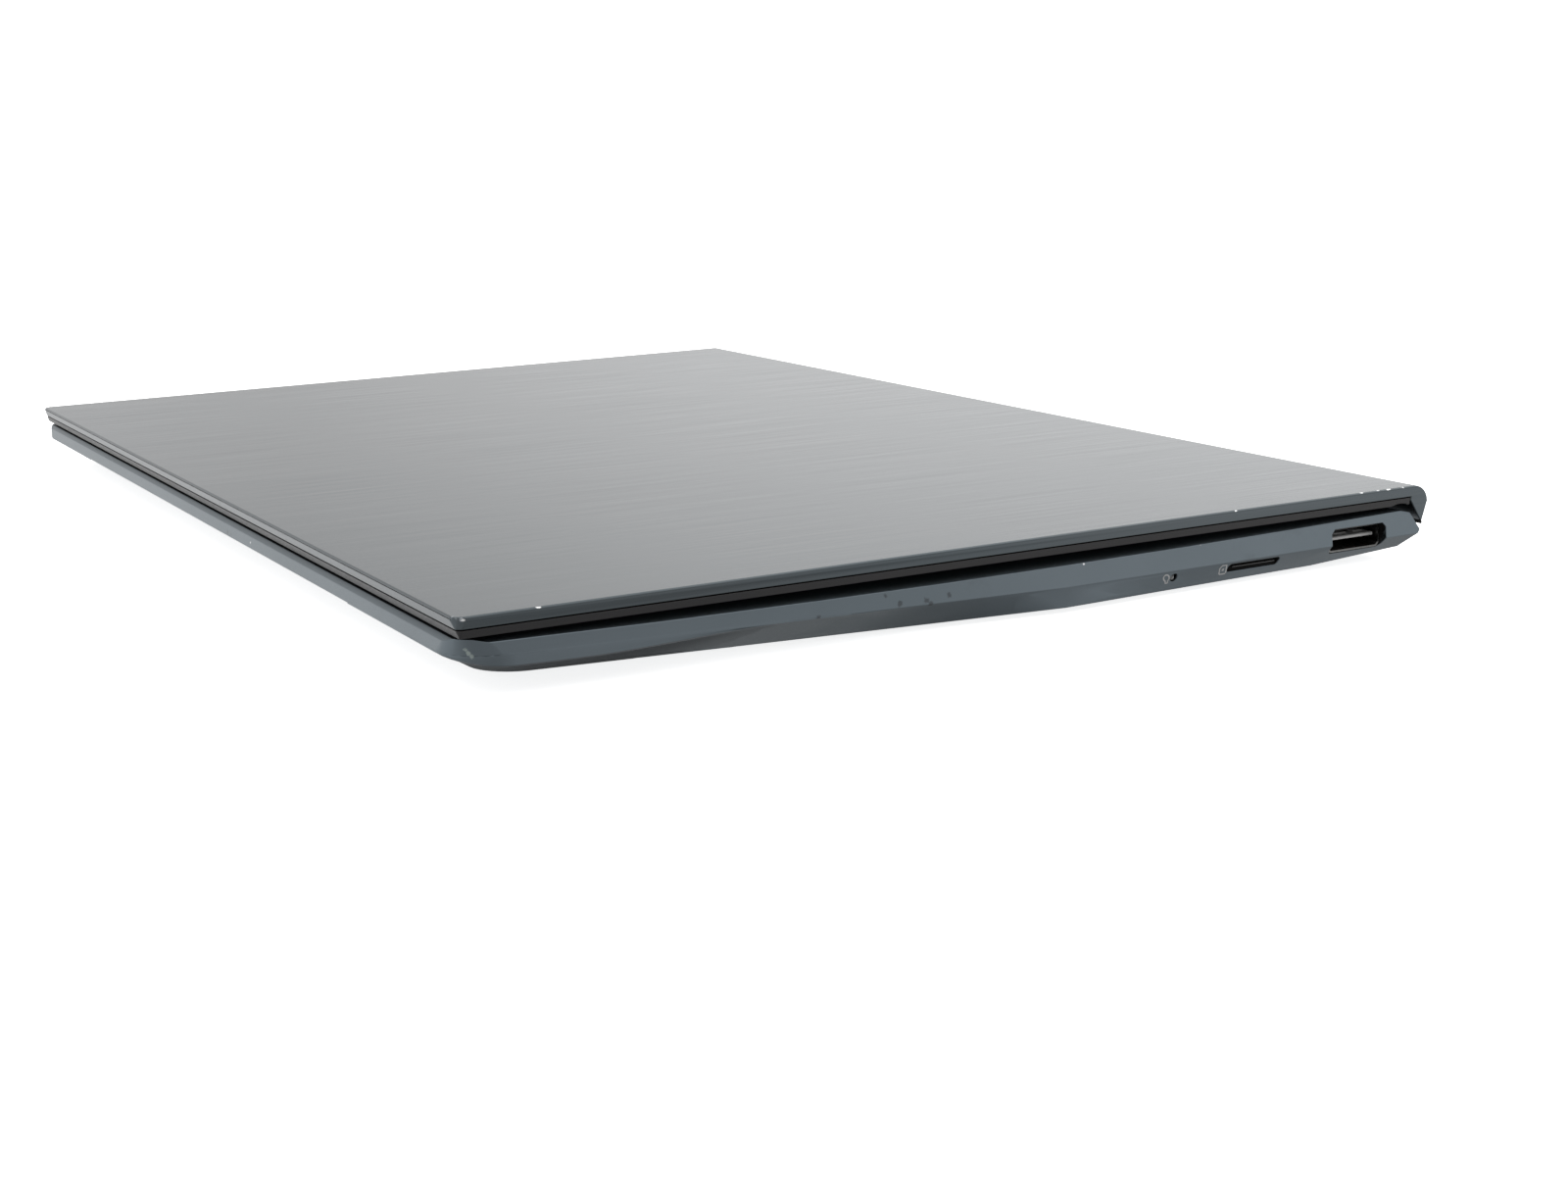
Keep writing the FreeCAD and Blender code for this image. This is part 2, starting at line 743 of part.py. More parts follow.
def lip_room():
    """Room in front of the lip, up to its slanted inner face."""
    along, across = math.cos(math.radians(lid_lip_slant)), math.sin(math.radians(lid_lip_slant))
    y_start = bezel_rear + seam_clearance
    z_start = hinge_z + (groove_radius - (y_start - hinge_y) * along) / across
    z_end = z_top - lid_lip_drop - lip_clearance
    y_end = hinge_y + (groove_radius - (z_end - hinge_z) * across) / along
    outline = [(hinge_y, z_end), (y_end, z_end), (y_start, z_start), (y_start, z_lid), (hinge_y, z_lid)]
    return prism_along_x(outline, -half, half)


def lid_round_point():
    """Middle of the round at the rear of the lid, as (y, z)."""
    bulge = 1.0 - math.sqrt(0.5)
    return (rear - lid_rear_round * bulge, z_top - lid_rear_drop * bulge)


def lid_cover():
    """Metal back of the lid: skin, edge walls and the lip behind the hinge."""
    lower = box(-half, half, front, bezel_rear + seam_clearance, z_top - lid_lip_drop, z_lid_seam)
    room = box(lid_wall - half, half - lid_wall, front + lid_wall + lid_front_lean,
               hinge_y + arm_thickness / 2.0 + fit_clearance, z_lid, z_top - lid_skin)
    return lid_form().cut([lower, room])


def screen_window(grow, z0, z1):
    """Block over the visible screen, wider by a margin all round."""
    side = half - screen_side_margin + grow
    return box(-side, side, front + screen_top_margin - grow, rear - screen_hinge_margin + grow, z0, z1)


def screen_bezel():
    """Frame round the screen, with the camera hole and the slots for the hinge arms."""
    frame = lid_form().common(box(-half, half, front, bezel_rear, z_lid, z_lid_seam - seam_clearance))
    cuts = [screen_window(0.0, z_lid, z_lid_seam),
            screen_window(panel_margin + fit_clearance, z_lid + bezel_front_skin, z_lid_seam),
            post_along_z(camera_diameter / 2.0 + fit_clearance, z_lid, z_lid_seam, 0.0, camera_y)]
    for side in (-1.0, 1.0):
        x = side * hinge_place
        reach = arm_width / 2.0 + fit_clearance
        room = arm_thickness / 2.0 + fit_clearance
        cuts.append(box(x - reach, x + reach, hinge_y - room, hinge_y + room, z_lid, z_lid_seam))
    return frame.cut(cuts)


def display_panel():
    """Screen module seated in the rabbet of the bezel."""
    z0 = z_lid + bezel_front_skin
    return screen_window(panel_margin, z0, z0 + panel_thickness)


def webcam_module():
    """Small board with the camera barrel that looks through the bezel."""
    z0 = z_lid_seam
    z1 = z0 + camera_board_thickness
    board = box(-camera_board_length / 2.0, camera_board_length / 2.0, camera_y - camera_board_height / 2.0,
                camera_y + camera_board_height / 2.0, z0, z1)
    barrel = post_along_z(camera_diameter / 2.0, z_lid + fit_clearance, z1, 0.0, camera_y)
    return joined([board, barrel])


def lid_gasket():
    """Soft rim strip along the front and sides of the bezel."""
    x = half - lid_side_lean - gasket_inset
    near = front + lid_front_lean + gasket_inset
    far = hinge_y - groove_radius
    outer = box(-x, x, near, far, z_lid - gasket_height, z_lid)
    inner = box(gasket_width - x, x - gasket_width, near + gasket_width, rear, z_lid - gasket_height, z_lid)
    return outer.cut(inner)


def wifi_antennas():
    """Two aerial strips beside the camera board."""
    strip = box(antenna_place - antenna_length / 2.0, antenna_place + antenna_length / 2.0,
                camera_y - antenna_height / 2.0, camera_y + antenna_height / 2.0,
                z_lid_seam, z_lid_seam + antenna_thickness)
    return Part.makeCompound([strip, mirrored(strip)])


def lid_feet():
    """Rubber strips under the lip, which bear on the table when the lid is open."""
    z0 = z_top - lid_lip_drop
    y = rear - lid_lip_tip
    strip = box(lid_foot_place - lid_foot_length / 2.0, lid_foot_place + lid_foot_length / 2.0,
                y - lid_foot_width, y, z0 - lid_foot_height, z0)
    return Part.makeCompound([strip, mirrored(strip)])


def hinge_arm():
    """Right hinge arm: leaf in the lid, arm through the bezel, boss and pin on the hinge line."""
    x0 = hinge_place - arm_width / 2.0
    x1 = hinge_place + arm_width / 2.0
    y1 = hinge_y + arm_thickness / 2.0
    z_leaf = z_lid_seam + arm_leaf_thickness
    leaf = box(x0, x1, y1 - arm_leaf_length, y1, z_lid_seam, z_leaf)
    arm = box(x0, x1, hinge_y - arm_thickness / 2.0, y1, hinge_z, z_leaf)
    round_end = bar_along_x(arm_boss_radius, x0, x1, hinge_y, hinge_z)
    pin = rod_along_x(pin_radius, x0 - notch_clearance - case_wall - pin_length, x1, hinge_y, hinge_z)
    return joined([leaf, arm, round_end, pin])


def hinge_bracket():
    """Right hinge bracket: barrel round the pin and a block up to the deck."""
    x1 = hinge_place - arm_width / 2.0 - notch_clearance - case_wall - fit_clearance
    x0 = x1 - pin_length
    barrel = bar_along_x(pin_radius + pin_clearance + barrel_wall, x0, x1, hinge_y, hinge_z)
    y1 = rear - rear_slope_run - case_wall
    block = box(x0, x1, y1 - bracket_reach, y1, hinge_z - bracket_drop, z_deck_under)
    web = box(x0, x1, y1 - bracket_reach, hinge_y, hinge_z - bracket_drop, hinge_z + bracket_drop)
    bore = rod_along_x(pin_radius + pin_clearance, x0, x1, hinge_y, hinge_z)
    return joined([barrel, block, web]).cut(bore)


def socket_shell_tube(place, wide, high, deep, middle, corner):
    """Metal sleeve of a connector, closed at its inner end and open to the right."""
    x1 = base_half - port_setback
    y0, y1 = place - wide / 2.0, place + wide / 2.0
    z0, z1 = z_bottom + middle - high / 2.0, z_bottom + middle + high / 2.0
    outer = box(x1 - deep, x1, y0, y1, z0, z1)
    inner = box(x1 - deep + socket_shell, x1 + socket_shell, y0 + socket_shell, y1 - socket_shell,
                z0 + socket_shell, z1 - socket_shell)
    outer_edges = [e for e in outer.Edges if e.BoundBox.XLength > deep / 2.0]
    inner_edges = [e for e in inner.Edges if e.BoundBox.XLength > deep / 2.0]
    sleeve = outer.makeChamfer(corner, outer_edges)
    return sleeve.cut(inner.makeChamfer(corner - socket_shell / 2.0, inner_edges))


def socket_tongue(place, wide, deep, middle, thick, rise):
    """Contact tongue inside a connector, fixed to its inner end."""
    x0 = base_half - port_setback - deep + socket_shell
    side = wide / 2.0 - 2.0 * socket_shell - fit_clearance
    z_mid = z_bottom + middle + rise
    x1 = x0 + deep - 4.0 * socket_shell
    return box(x0, x1, place - side, place + side, z_mid - thick / 2.0, z_mid + thick / 2.0)


def usb_a_socket():
    """Sleeve of the large flat socket on the right."""
    return socket_shell_tube(usb_place, usb_width, usb_height, usb_depth, usb_middle_height, socket_corner)


def usb_a_tongue():
    """Contact tongue in the upper half of the large flat socket."""
    rise = usb_height / 2.0 - 2.0 * socket_shell - usb_tongue_thickness / 2.0
    return socket_tongue(usb_place, usb_width, usb_depth, usb_middle_height, usb_tongue_thickness, rise)


def card_reader():
    """Sleeve of the memory card slot on the right."""
    return socket_shell_tube(card_place, card_width, card_slot_height, card_depth,
                             card_middle_height, card_corner)


def hdmi_socket():
    """Video socket on the left, sleeve and tongue in one."""
    sleeve = socket_shell_tube(hdmi_place, hdmi_width, hdmi_height, hdmi_depth,
                               hdmi_middle_height, socket_corner)
    tongue = socket_tongue(hdmi_place, hdmi_width, hdmi_depth, hdmi_middle_height, hdmi_tongue_thickness, 0.0)
    return mirrored(joined([sleeve, tongue]))


def type_c_socket(place):
    """Small reversible socket on the left, sleeve and tongue in one."""
    sleeve = socket_shell_tube(place, type_c_width, type_c_height, type_c_depth,
                               type_c_middle_height, type_c_corner)
    tongue = socket_tongue(place, type_c_width, type_c_depth,
                           type_c_middle_height, type_c_tongue_thickness, 0.0)
    return mirrored(joined([sleeve, tongue]))


def indicator_light_pipe():
    """Clear rod that carries the charging lamp to the side."""
    return bar_along_x(lamp_diameter / 2.0, base_half - lamp_length, base_half - port_setback,
                       lamp_place, z_bottom + lamp_height)


def battery_frame():
    """Tray that holds the battery cells side by side."""
    tray = box(-battery_half, battery_half, battery_front, battery_rear, z_floor, z_floor + battery_thickness)
    return tray.cut([battery_cell_room(number, 0.0) for number in range(battery_cell_count)])


def battery_cell_room(number, inset):
    """Room of one battery cell in its tray."""
    pitch = (2.0 * battery_half - battery_wall) / battery_cell_count
    x0 = battery_wall - battery_half + number * pitch
    return box(x0 + inset, x0 + pitch - battery_wall - inset,
               battery_front + battery_wall + inset, battery_rear - battery_wall - inset,
               z_floor + battery_wall, z_floor + battery_thickness - inset)


def battery_cells():
    """Flat pouch cells in the tray."""
    cells = [battery_cell_room(number, fit_clearance) for number in range(battery_cell_count)]
    return Part.makeCompound(cells)


def main_board():
    """Circuit board on the right behind the battery, cleared for the screw posts."""
    board = box(board_left, board_right, board_front, board_front + board_depth,
                z_seam + board_lift, z_seam + board_lift + board_thickness)
    return board.cut([post_along_z(screw_boss_radius + lip_clearance, 0.0, z_deck, x, y)
                      for x, y in rear_screw_places()])


def board_chips():
    """Processor and memory packages on the board."""
    z0 = z_seam + board_lift + board_thickness
    places = [(processor_x, processor_y, processor_size, processor_size)]
    for number in range(memory_count):
        x = processor_x + processor_size + number * memory_pitch
        places.append((x, processor_y, memory_width, memory_depth))
    return Part.makeCompound([box(x - a / 2.0, x + a / 2.0, y - b / 2.0, y + b / 2.0, z0, z0 + chip_height)
                              for x, y, a, b in places])


def plug_in_card(x0, length):
    """Small plug-in board with a chip package along it."""
    y0 = battery_rear + card_module_gap
    y1 = y0 + card_module_width
    z0 = z_floor + board_thickness
    board = box(x0, x0 + length, y0, y1, z_floor, z0)
    chip = box(x0 + card_module_gap, x0 + length - card_module_gap,
               y0 + card_module_gap, y1 - card_module_gap, z0, z0 + chip_height)
    return joined([board, chip])


def fan_housing():
    """Flat blower case with its intake, outlet and axle."""
    z1 = z_floor + fan_thickness
    case = post_along_z(fan_radius + fan_wall, z_floor, z1, fan_place, fan_y, fan_sides)
    room = post_along_z(fan_radius, z_floor + fan_wall, z1 - fan_wall, fan_place, fan_y, fan_sides)
    intake = post_along_z(fan_intake_radius, 0.0, z_floor + fan_thickness / 2.0, fan_place, fan_y, fan_sides)
    outlet = box(fan_place - fan_outlet_width / 2.0, fan_place + fan_outlet_width / 2.0,
                 fan_y + fan_hub_radius, fan_y + 2.0 * fan_radius, z_floor + fan_wall, z1 - fan_wall)
    axle = rod_along_z(fan_axle_radius, z_floor + fan_wall + fan_run_gap, z1, fan_place, fan_y)
    return joined([case.cut([room, intake, outlet]), axle])


def fan_rotor():
    """Hub with swept blades, turning on the axle of the case."""
    z0 = z_floor + fan_wall + fan_run_gap
    z1 = z_floor + fan_thickness - fan_wall - fan_run_gap
    root = fan_hub_radius - fan_blade_thickness
    sweep = math.radians(fan_blade_sweep)
    reach = fan_radius - fan_run_gap - fan_blade_thickness
    length = math.sqrt(reach * reach - (root * math.sin(sweep)) ** 2) - root * math.cos(sweep)
    pieces = [post_along_z(fan_hub_radius, z0, z1, fan_place, fan_y, fan_sides)]
    for number in range(fan_blade_count):
        blade = box(0.0, length, -fan_blade_thickness / 2.0, fan_blade_thickness / 2.0, z0, z1)
        blade.rotate(V(0, 0, 0), V(0, 0, 1), fan_blade_sweep)
        blade.translate(V(root, 0, 0))
        blade.rotate(V(0, 0, 0), V(0, 0, 1), 360.0 * number / fan_blade_count)
        blade.translate(V(fan_place, fan_y, 0))
        pieces.append(blade)
    bore = rod_along_z(fan_axle_radius + pin_clearance, 0.0, z_deck, fan_place, fan_y)
    return joined(pieces).cut(bore)


def heat_sink_fins():
    """Comb of thin fins between the fan and the exhaust slots."""
    y0 = fan_y + fan_radius + fan_wall + fan_run_gap
    span = (fin_count - 1) * fin_pitch + fin_thickness
    left = fan_place - span / 2.0
    z_ridge = z_pipe - fin_thickness
    comb = [box(left, left + span, y0, y0 + fin_depth, z_ridge, z_pipe)]
    for number in range(fin_count):
        x0 = left + number * fin_pitch
        comb.append(box(x0, x0 + fin_thickness, y0, y0 + fin_depth, z_seam + fin_lift, z_ridge))
    return joined(comb)


def heat_pipe():
    """Flattened pipe from the processor, round one bend, along the fins."""
    y_run = fan_y + fan_radius + fan_wall + fan_run_gap + fin_depth / 2.0
    x_turn = processor_x - pipe_bend_radius
    y_turn = y_run - pipe_bend_radius
    outer = pipe_bend_radius + pipe_width / 2.0
    inner = pipe_bend_radius - pipe_width / 2.0
    bend = rod_along_z(outer, z_pipe, z_pipe + pipe_thickness, x_turn, y_turn)
    bend = bend.cut(rod_along_z(inner, z_pipe, z_pipe + pipe_thickness, x_turn, y_turn))
    bend = bend.common(box(x_turn, x_turn + outer, y_turn, y_turn + outer, z_pipe, z_pipe + pipe_thickness))
    along = box(fan_place - fin_count * fin_pitch / 2.0, x_turn,
                y_run - pipe_width / 2.0, y_run + pipe_width / 2.0, z_pipe, z_pipe + pipe_thickness)
    down = box(processor_x - pipe_width / 2.0, processor_x + pipe_width / 2.0, processor_y, y_turn,
               z_pipe, z_pipe + pipe_thickness)
    return joined([along, bend, down])


def speaker():
    """Right loudspeaker box over its slots."""
    y = front + speaker_margin_front
    return clipped_block(speaker_place - speaker_depth / 2.0, speaker_place + speaker_depth / 2.0,
                         y - speaker_length / 2.0, y + speaker_length / 2.0,
                         z_floor, z_floor + speaker_thickness, speaker_corner)


def key_nodes():
    """Key caps gathered by node."""
    groups = {}
    for name, x0, x1, y0, y1 in key_rows():
        groups.setdefault(name, []).append(key_cap(x0, x1, y0, y1))
    return {name: Part.makeCompound(caps) for name, caps in groups.items()}


os.makedirs("parts", exist_ok=True)
right_arm = hinge_arm()
right_bracket = hinge_bracket()
right_speaker = speaker()
first_type_c, second_type_c = [type_c_socket(place) for place in type_c_places()]
nodes = {
    "lid_cover": lid_cover(),
    "screen_bezel": screen_bezel(),
    "display_panel": display_panel(),
    "webcam_module": webcam_module(),
    "lid_gasket": lid_gasket(),
    "wifi_antennas": wifi_antennas(),
    "lid_feet": lid_feet(),
    "hinge_arm_right": right_arm,
    "hinge_arm_left": mirrored(right_arm),
    "hinge_bracket_right": right_bracket,
    "hinge_bracket_left": mirrored(right_bracket),
    "top_case": top_case(),
    "keyboard_plate": keyboard_plate(),
    "touchpad": touchpad(),
    "bottom_cover": bottom_cover(),
    "bottom_screws": bottom_screws(),
    "front_feet": front_feet(),
    "rear_foot": rear_foot(),
    "usb_a_socket": usb_a_socket(),
    "usb_a_tongue": usb_a_tongue(),
    "card_reader": card_reader(),
    "indicator_light_pipe": indicator_light_pipe(),
    "hdmi_socket": hdmi_socket(),
    "type_c_socket_rear": first_type_c,
    "type_c_socket_front": second_type_c,
    "battery_frame": battery_frame(),
    "battery_cells": battery_cells(),
    "main_board": main_board(),
    "board_chips": board_chips(),
    "storage_card": plug_in_card(storage_place, card_module_length),
    "wireless_card": plug_in_card(wireless_place, wireless_length),
    "fan_housing": fan_housing(),
    "fan_rotor": fan_rotor(),
    "heat_sink_fins": heat_sink_fins(),
    "heat_pipe": heat_pipe(),
    "speaker_right": right_speaker,
    "speaker_left": mirrored(right_speaker),
}
nodes.update(key_nodes())
for name, shape in nodes.items():
    write(name, shape)
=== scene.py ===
import json
import math

import bmesh
import bpy
from mathutils import Matrix, Vector
from mathutils.bvhtree import BVHTree


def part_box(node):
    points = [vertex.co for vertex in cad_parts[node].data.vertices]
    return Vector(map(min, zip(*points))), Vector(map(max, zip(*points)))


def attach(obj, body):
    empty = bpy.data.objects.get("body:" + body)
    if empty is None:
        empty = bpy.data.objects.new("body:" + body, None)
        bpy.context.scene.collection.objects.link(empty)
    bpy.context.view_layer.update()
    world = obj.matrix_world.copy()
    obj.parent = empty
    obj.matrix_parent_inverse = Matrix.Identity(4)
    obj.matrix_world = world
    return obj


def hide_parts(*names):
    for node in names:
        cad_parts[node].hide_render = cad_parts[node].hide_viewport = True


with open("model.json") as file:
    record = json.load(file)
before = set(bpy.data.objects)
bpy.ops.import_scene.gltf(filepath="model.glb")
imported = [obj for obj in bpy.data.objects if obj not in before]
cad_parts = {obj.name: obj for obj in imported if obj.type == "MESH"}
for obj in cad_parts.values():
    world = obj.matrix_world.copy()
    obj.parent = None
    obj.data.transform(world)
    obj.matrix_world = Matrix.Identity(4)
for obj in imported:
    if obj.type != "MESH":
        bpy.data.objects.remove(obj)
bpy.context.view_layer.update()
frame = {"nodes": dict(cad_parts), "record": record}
nodes = frame["nodes"]

# Lengths are in millimetres where nothing else is said, and MM turns them into metres
MM = 0.001


def point(x, y, z):
    """Place in metres, from millimetres."""
    return Vector((x, y, z)) * MM


def box(node):
    """Lowest and highest corner of a CAD node, in millimetres."""
    low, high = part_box(node)
    return low / MM, high / MM


def centre(node):
    """Middle of a CAD node's box, in millimetres."""
    low, high = box(node)
    return (low + high) / 2.0


def grey(value):
    return (value, value, value)


# Shader building

# Most of a noise texture's values lie between these two
NOISE_LOW, NOISE_HIGH = 0.3, 0.7


class Nodes:
    """Short calls for the nodes of one shader tree."""

    def __init__(self, tree):
        self.tree = tree

    def node(self, kind, **settings):
        made = self.tree.nodes.new(kind)
        for name, value in settings.items():
            setattr(made, name, value)
        return made

    def feed(self, socket, value):
        """Link a socket to another one, or set its value."""
        if isinstance(value, bpy.types.NodeSocket):
            self.tree.links.new(value, socket)
        else:
            socket.default_value = value

    def sum(self, kind, first, second=0.0, third=0.0):
        made = self.node("ShaderNodeMath", operation=kind)
        for socket, value in zip(made.inputs, (first, second, third)):
            self.feed(socket, value)
        return made.outputs[0]

    def dot(self, vector, way):
        made = self.node("ShaderNodeVectorMath", operation="DOT_PRODUCT")
        self.feed(made.inputs[0], vector)
        made.inputs[1].default_value = way
        return made.outputs["Value"]

    def span(self, value, low, high, out_low=0.0, out_high=1.0, smooth=True):
        """Move a value from one range to another, held inside it."""
        kind = "SMOOTHSTEP" if smooth else "LINEAR"
        made = self.node("ShaderNodeMapRange", interpolation_type=kind)
        for socket, number in zip(made.inputs, (value, low, high, out_low, out_high)):
            self.feed(socket, number)
        return made.outputs[0]

    def mix(self, share, first, second):
        made = self.node("ShaderNodeMix", data_type="RGBA")
        self.feed(made.inputs["Factor"], share)
        colours = [s for s in made.inputs if s.type == "RGBA"]
        for socket, value in zip(colours, (first, second)):
            self.feed(socket, (*value, 1.0) if isinstance(value, tuple) else value)
        return [s for s in made.outputs if s.type == "RGBA"][0]

    def tones(self, share, *stops):
        """Colour ramp through (place, colour) stops."""
        made = self.node("ShaderNodeValToRGB")
        self.feed(made.inputs["Fac"], share)
        row = made.color_ramp.elements
        while len(row) < len(stops):
            row.new(0.5)
        for element, (place, colour) in zip(row, stops):
            element.position = place
            element.color = (*colour, 1.0)
        return made.outputs["Color"]


class Shader(Nodes):
    """One procedural material."""

    def __init__(self, name):
        self.material = bpy.data.materials.new(name)
        self.material.use_nodes = True
        super().__init__(self.material.node_tree)
        self.tree.nodes.clear()
        self.output = self.node("ShaderNodeOutputMaterial")
        self.surface = self.node("ShaderNodeBsdfPrincipled")
        self.tree.links.new(self.surface.outputs["BSDF"], self.output.inputs["Surface"])
        self.place = self.node("ShaderNodeTexCoord").outputs["Object"]

    def put(self, **values):
        """Set or link the sockets of the surface shader, by name with _ for a space."""
        for name, value in values.items():
            self.feed(self.surface.inputs[name.replace("_", " ")], value)

    def stretch(self, scale, turn=(0.0, 0.0, 0.0)):
        mapping = self.node("ShaderNodeMapping")
        self.feed(mapping.inputs["Vector"], self.place)
        mapping.inputs["Scale"].default_value = scale
        mapping.inputs["Rotation"].default_value = turn
        return mapping.outputs["Vector"]

    def noise(self, scale=1.0, detail=4.0, rough=0.55, where=None, seed=0.0):
        made = self.node("ShaderNodeTexNoise", noise_dimensions="4D")
        self.feed(made.inputs["Vector"], self.place if where is None else where)
        made.inputs["Scale"].default_value = scale
        made.inputs["Detail"].default_value = detail
        made.inputs["Roughness"].default_value = rough
        made.inputs["W"].default_value = seed
        return made.outputs["Fac"]

    def cells(self, scale, where):
        """Distance to the edges of a cell pattern."""
        made = self.node("ShaderNodeTexVoronoi", feature="DISTANCE_TO_EDGE")
        self.feed(made.inputs["Vector"], where)
        made.inputs["Scale"].default_value = scale
        return made.outputs["Distance"]

    def bump(self, height, strength, depth):
        made = self.node("ShaderNodeBump")
        made.inputs["Strength"].default_value = strength
        made.inputs["Distance"].default_value = depth * MM
        self.feed(made.inputs["Height"], height)
        return made.outputs["Normal"]

    def between(self, noise, dark, light):
        """Colour between two, by a noise."""
        return self.tones(noise, (NOISE_LOW, dark), (NOISE_HIGH, light))

    def vary(self, noise, low, high):
        """Value between two, by a noise."""
        return self.span(noise, NOISE_LOW, NOISE_HIGH, low, high)

    def spots(self, places, radius, ragged, scale=1500.0, shape=(1.0, 1.0, 1.0)):
        """Mask of small ragged spots round given places."""
        nearest = None
        space = self.stretch(shape)
        for place in places:
            gap = self.node("ShaderNodeVectorMath", operation="DISTANCE")
            self.feed(gap.inputs[0], space)
            gap.inputs[1].default_value = [MM * value * factor for value, factor in zip(place, shape)]
            away = gap.outputs["Value"]
            nearest = away if nearest is None else self.sum("MINIMUM", nearest, away)
        edge = self.noise(scale=scale, detail=4.0, rough=0.65)
        away = self.sum("MULTIPLY_ADD", edge, ragged * MM, nearest)
        outside = radius + 0.6 * ragged
        inside = radius + 0.4 * ragged
        return self.span(away, outside * MM, inside * MM)

    def marked(self, tone, mask, strength, colour):
        """A tone with marks of another colour under a mask."""
        return self.mix(self.sum("MULTIPLY", mask, strength), tone, colour)


# Places of the wear that the photograph shows

LID_CHIPS = (
    (151.6, 54.0, 14.8), (151.7, -86.7, 14.9), (151.6, -98.6, 14.6),
    (151.6, -99.4, 14.5), (151.5, 84.6, 14.9), (151.5, 88.6, 14.9),
    (151.6, 91.2, 14.9), (151.6, 94.8, 14.8), (151.6, 97.2, 14.4),
)
LID_WORN = ((150.9, -100.5, 14.7), (151.4, -99.9, 14.6), (150.2, -100.9, 14.7))
LID_SCUFFS = (
    (20.6, -101.0, 13.0), (16.1, -101.0, 12.9), (24.9, -101.0, 13.2), (62.0, -101.0, 13.1),
)
CASE_CHIPS = (
    (150.3, -99.2, 9.0), (149.4, -99.9, 8.7), (151.4, 19.7, 8.9), (151.4, 46.1, 9.3),
    (151.4, 73.9, 10.0), (38.5, -101.2, 9.0), (151.3, 92.2, 5.5), (151.3, 93.0, 5.5),
)
CASE_WORN = ((149.5, -98.3, 8.5), (149.8, -97.9, 7.9), (149.2, -98.6, 9.1))
CASE_SMUDGES = (
    (151.5, -35.6, 6.3), (151.5, -19.4, 6.6), (151.5, -14.0, 6.5), (151.5, -13.0, 5.6),
    (151.5, -9.3, 6.9), (151.5, -22.0, 8.3), (22.5, -101.3, 8.6), (25.0, -101.3, 8.4),
)
BARE_METAL = grey(0.80)


# Finishes

def lid_metal():
    """Anodised aluminium with a straight hairline grain along Y, worn bright at the edges."""
    s = Shader("lid_metal")
    fine = s.noise(detail=3.0, rough=0.6, where=s.stretch((9000.0, 55.0, 9000.0)))
    broad = s.noise(detail=2.0, rough=0.5, where=s.stretch((1400.0, 18.0, 1400.0)), seed=3.0)
    cloud = s.noise(scale=14.0, detail=3.0, rough=0.5, seed=5.0)
    grain = s.sum("MULTIPLY_ADD", broad, 0.5, s.sum("MULTIPLY", fine, 0.5))
    tone = s.tones(
        grain,
        (0.3, (0.080, 0.094, 0.103)),
        (0.5, (0.092, 0.107, 0.116)),
        (0.72, (0.106, 0.121, 0.130)),
    )
    tone = s.mix(s.span(cloud, 0.35, 0.7, 0.0, 0.12), tone, grey(0.13))
    scuffs = s.spots(LID_SCUFFS, radius=0.5, ragged=2.4, scale=700.0)
    tone = s.marked(tone, scuffs, 0.7, (0.035, 0.036, 0.037))
    worn = s.spots(LID_WORN, radius=0.3, ragged=1.1)
    tone = s.marked(tone, worn, 0.7, (0.42, 0.44, 0.47))
    chips = s.spots(LID_CHIPS, radius=0.2, ragged=0.6, shape=(1.0, 0.45, 1.0))
    s.put(Base_Color=s.mix(chips, tone, BARE_METAL), Metallic=1.0)
    s.put(Roughness=s.vary(grain, 0.20, 0.27))
    s.put(Normal=s.bump(grain, strength=0.06, depth=0.05))
    return s.material


def case_metal():
    """Anodised aluminium with a fine blasted grain, worn and smudged along its edges."""
    s = Shader("case_metal")
    grit = s.noise(scale=5200.0, detail=3.0, rough=0.6)
    cloud = s.noise(scale=22.0, detail=4.0, rough=0.6, seed=2.0)
    tone = s.between(cloud, (0.122, 0.146, 0.162), (0.140, 0.165, 0.183))
    patches = s.noise(scale=55.0, detail=6.0, rough=0.7, seed=7.0)
    tone = s.mix(s.span(patches, 0.58, 0.74, 0.0, 0.16), tone, grey(0.05))
    smudges = s.spots(CASE_SMUDGES, radius=0.4, ragged=2.2, scale=800.0)
    tone = s.marked(tone, smudges, 0.6, (0.045, 0.045, 0.047))
    worn = s.spots(CASE_WORN, radius=0.32, ragged=1.4)
    tone = s.marked(tone, worn, 0.6, (0.42, 0.48, 0.45))
    chips = s.spots(CASE_CHIPS, radius=0.22, ragged=0.6)
    s.put(Base_Color=s.mix(chips, tone, BARE_METAL), Metallic=1.0)
    s.put(Roughness=s.vary(grit, 0.28, 0.38))
    s.put(Normal=s.bump(grit, strength=0.10, depth=0.03))
    return s.material


def moulded(name, dark, light, rough, scale=2600.0, depth=0.04, sheen=0.5):
    """Moulded plastic or rubber with a fine spark-eroded texture."""
    s = Shader(name)
    grit = s.noise(scale=scale, detail=4.0, rough=0.6)
    cloud = s.noise(scale=40.0, detail=4.0, rough=0.6, seed=1.0)
    s.put(Base_Color=s.between(cloud, dark, light), Specular_IOR_Level=sheen)
    s.put(Roughness=s.vary(grit, rough - 0.08, rough + 0.08))
    s.put(Normal=s.bump(grit, strength=0.35, depth=depth))
    return s.material


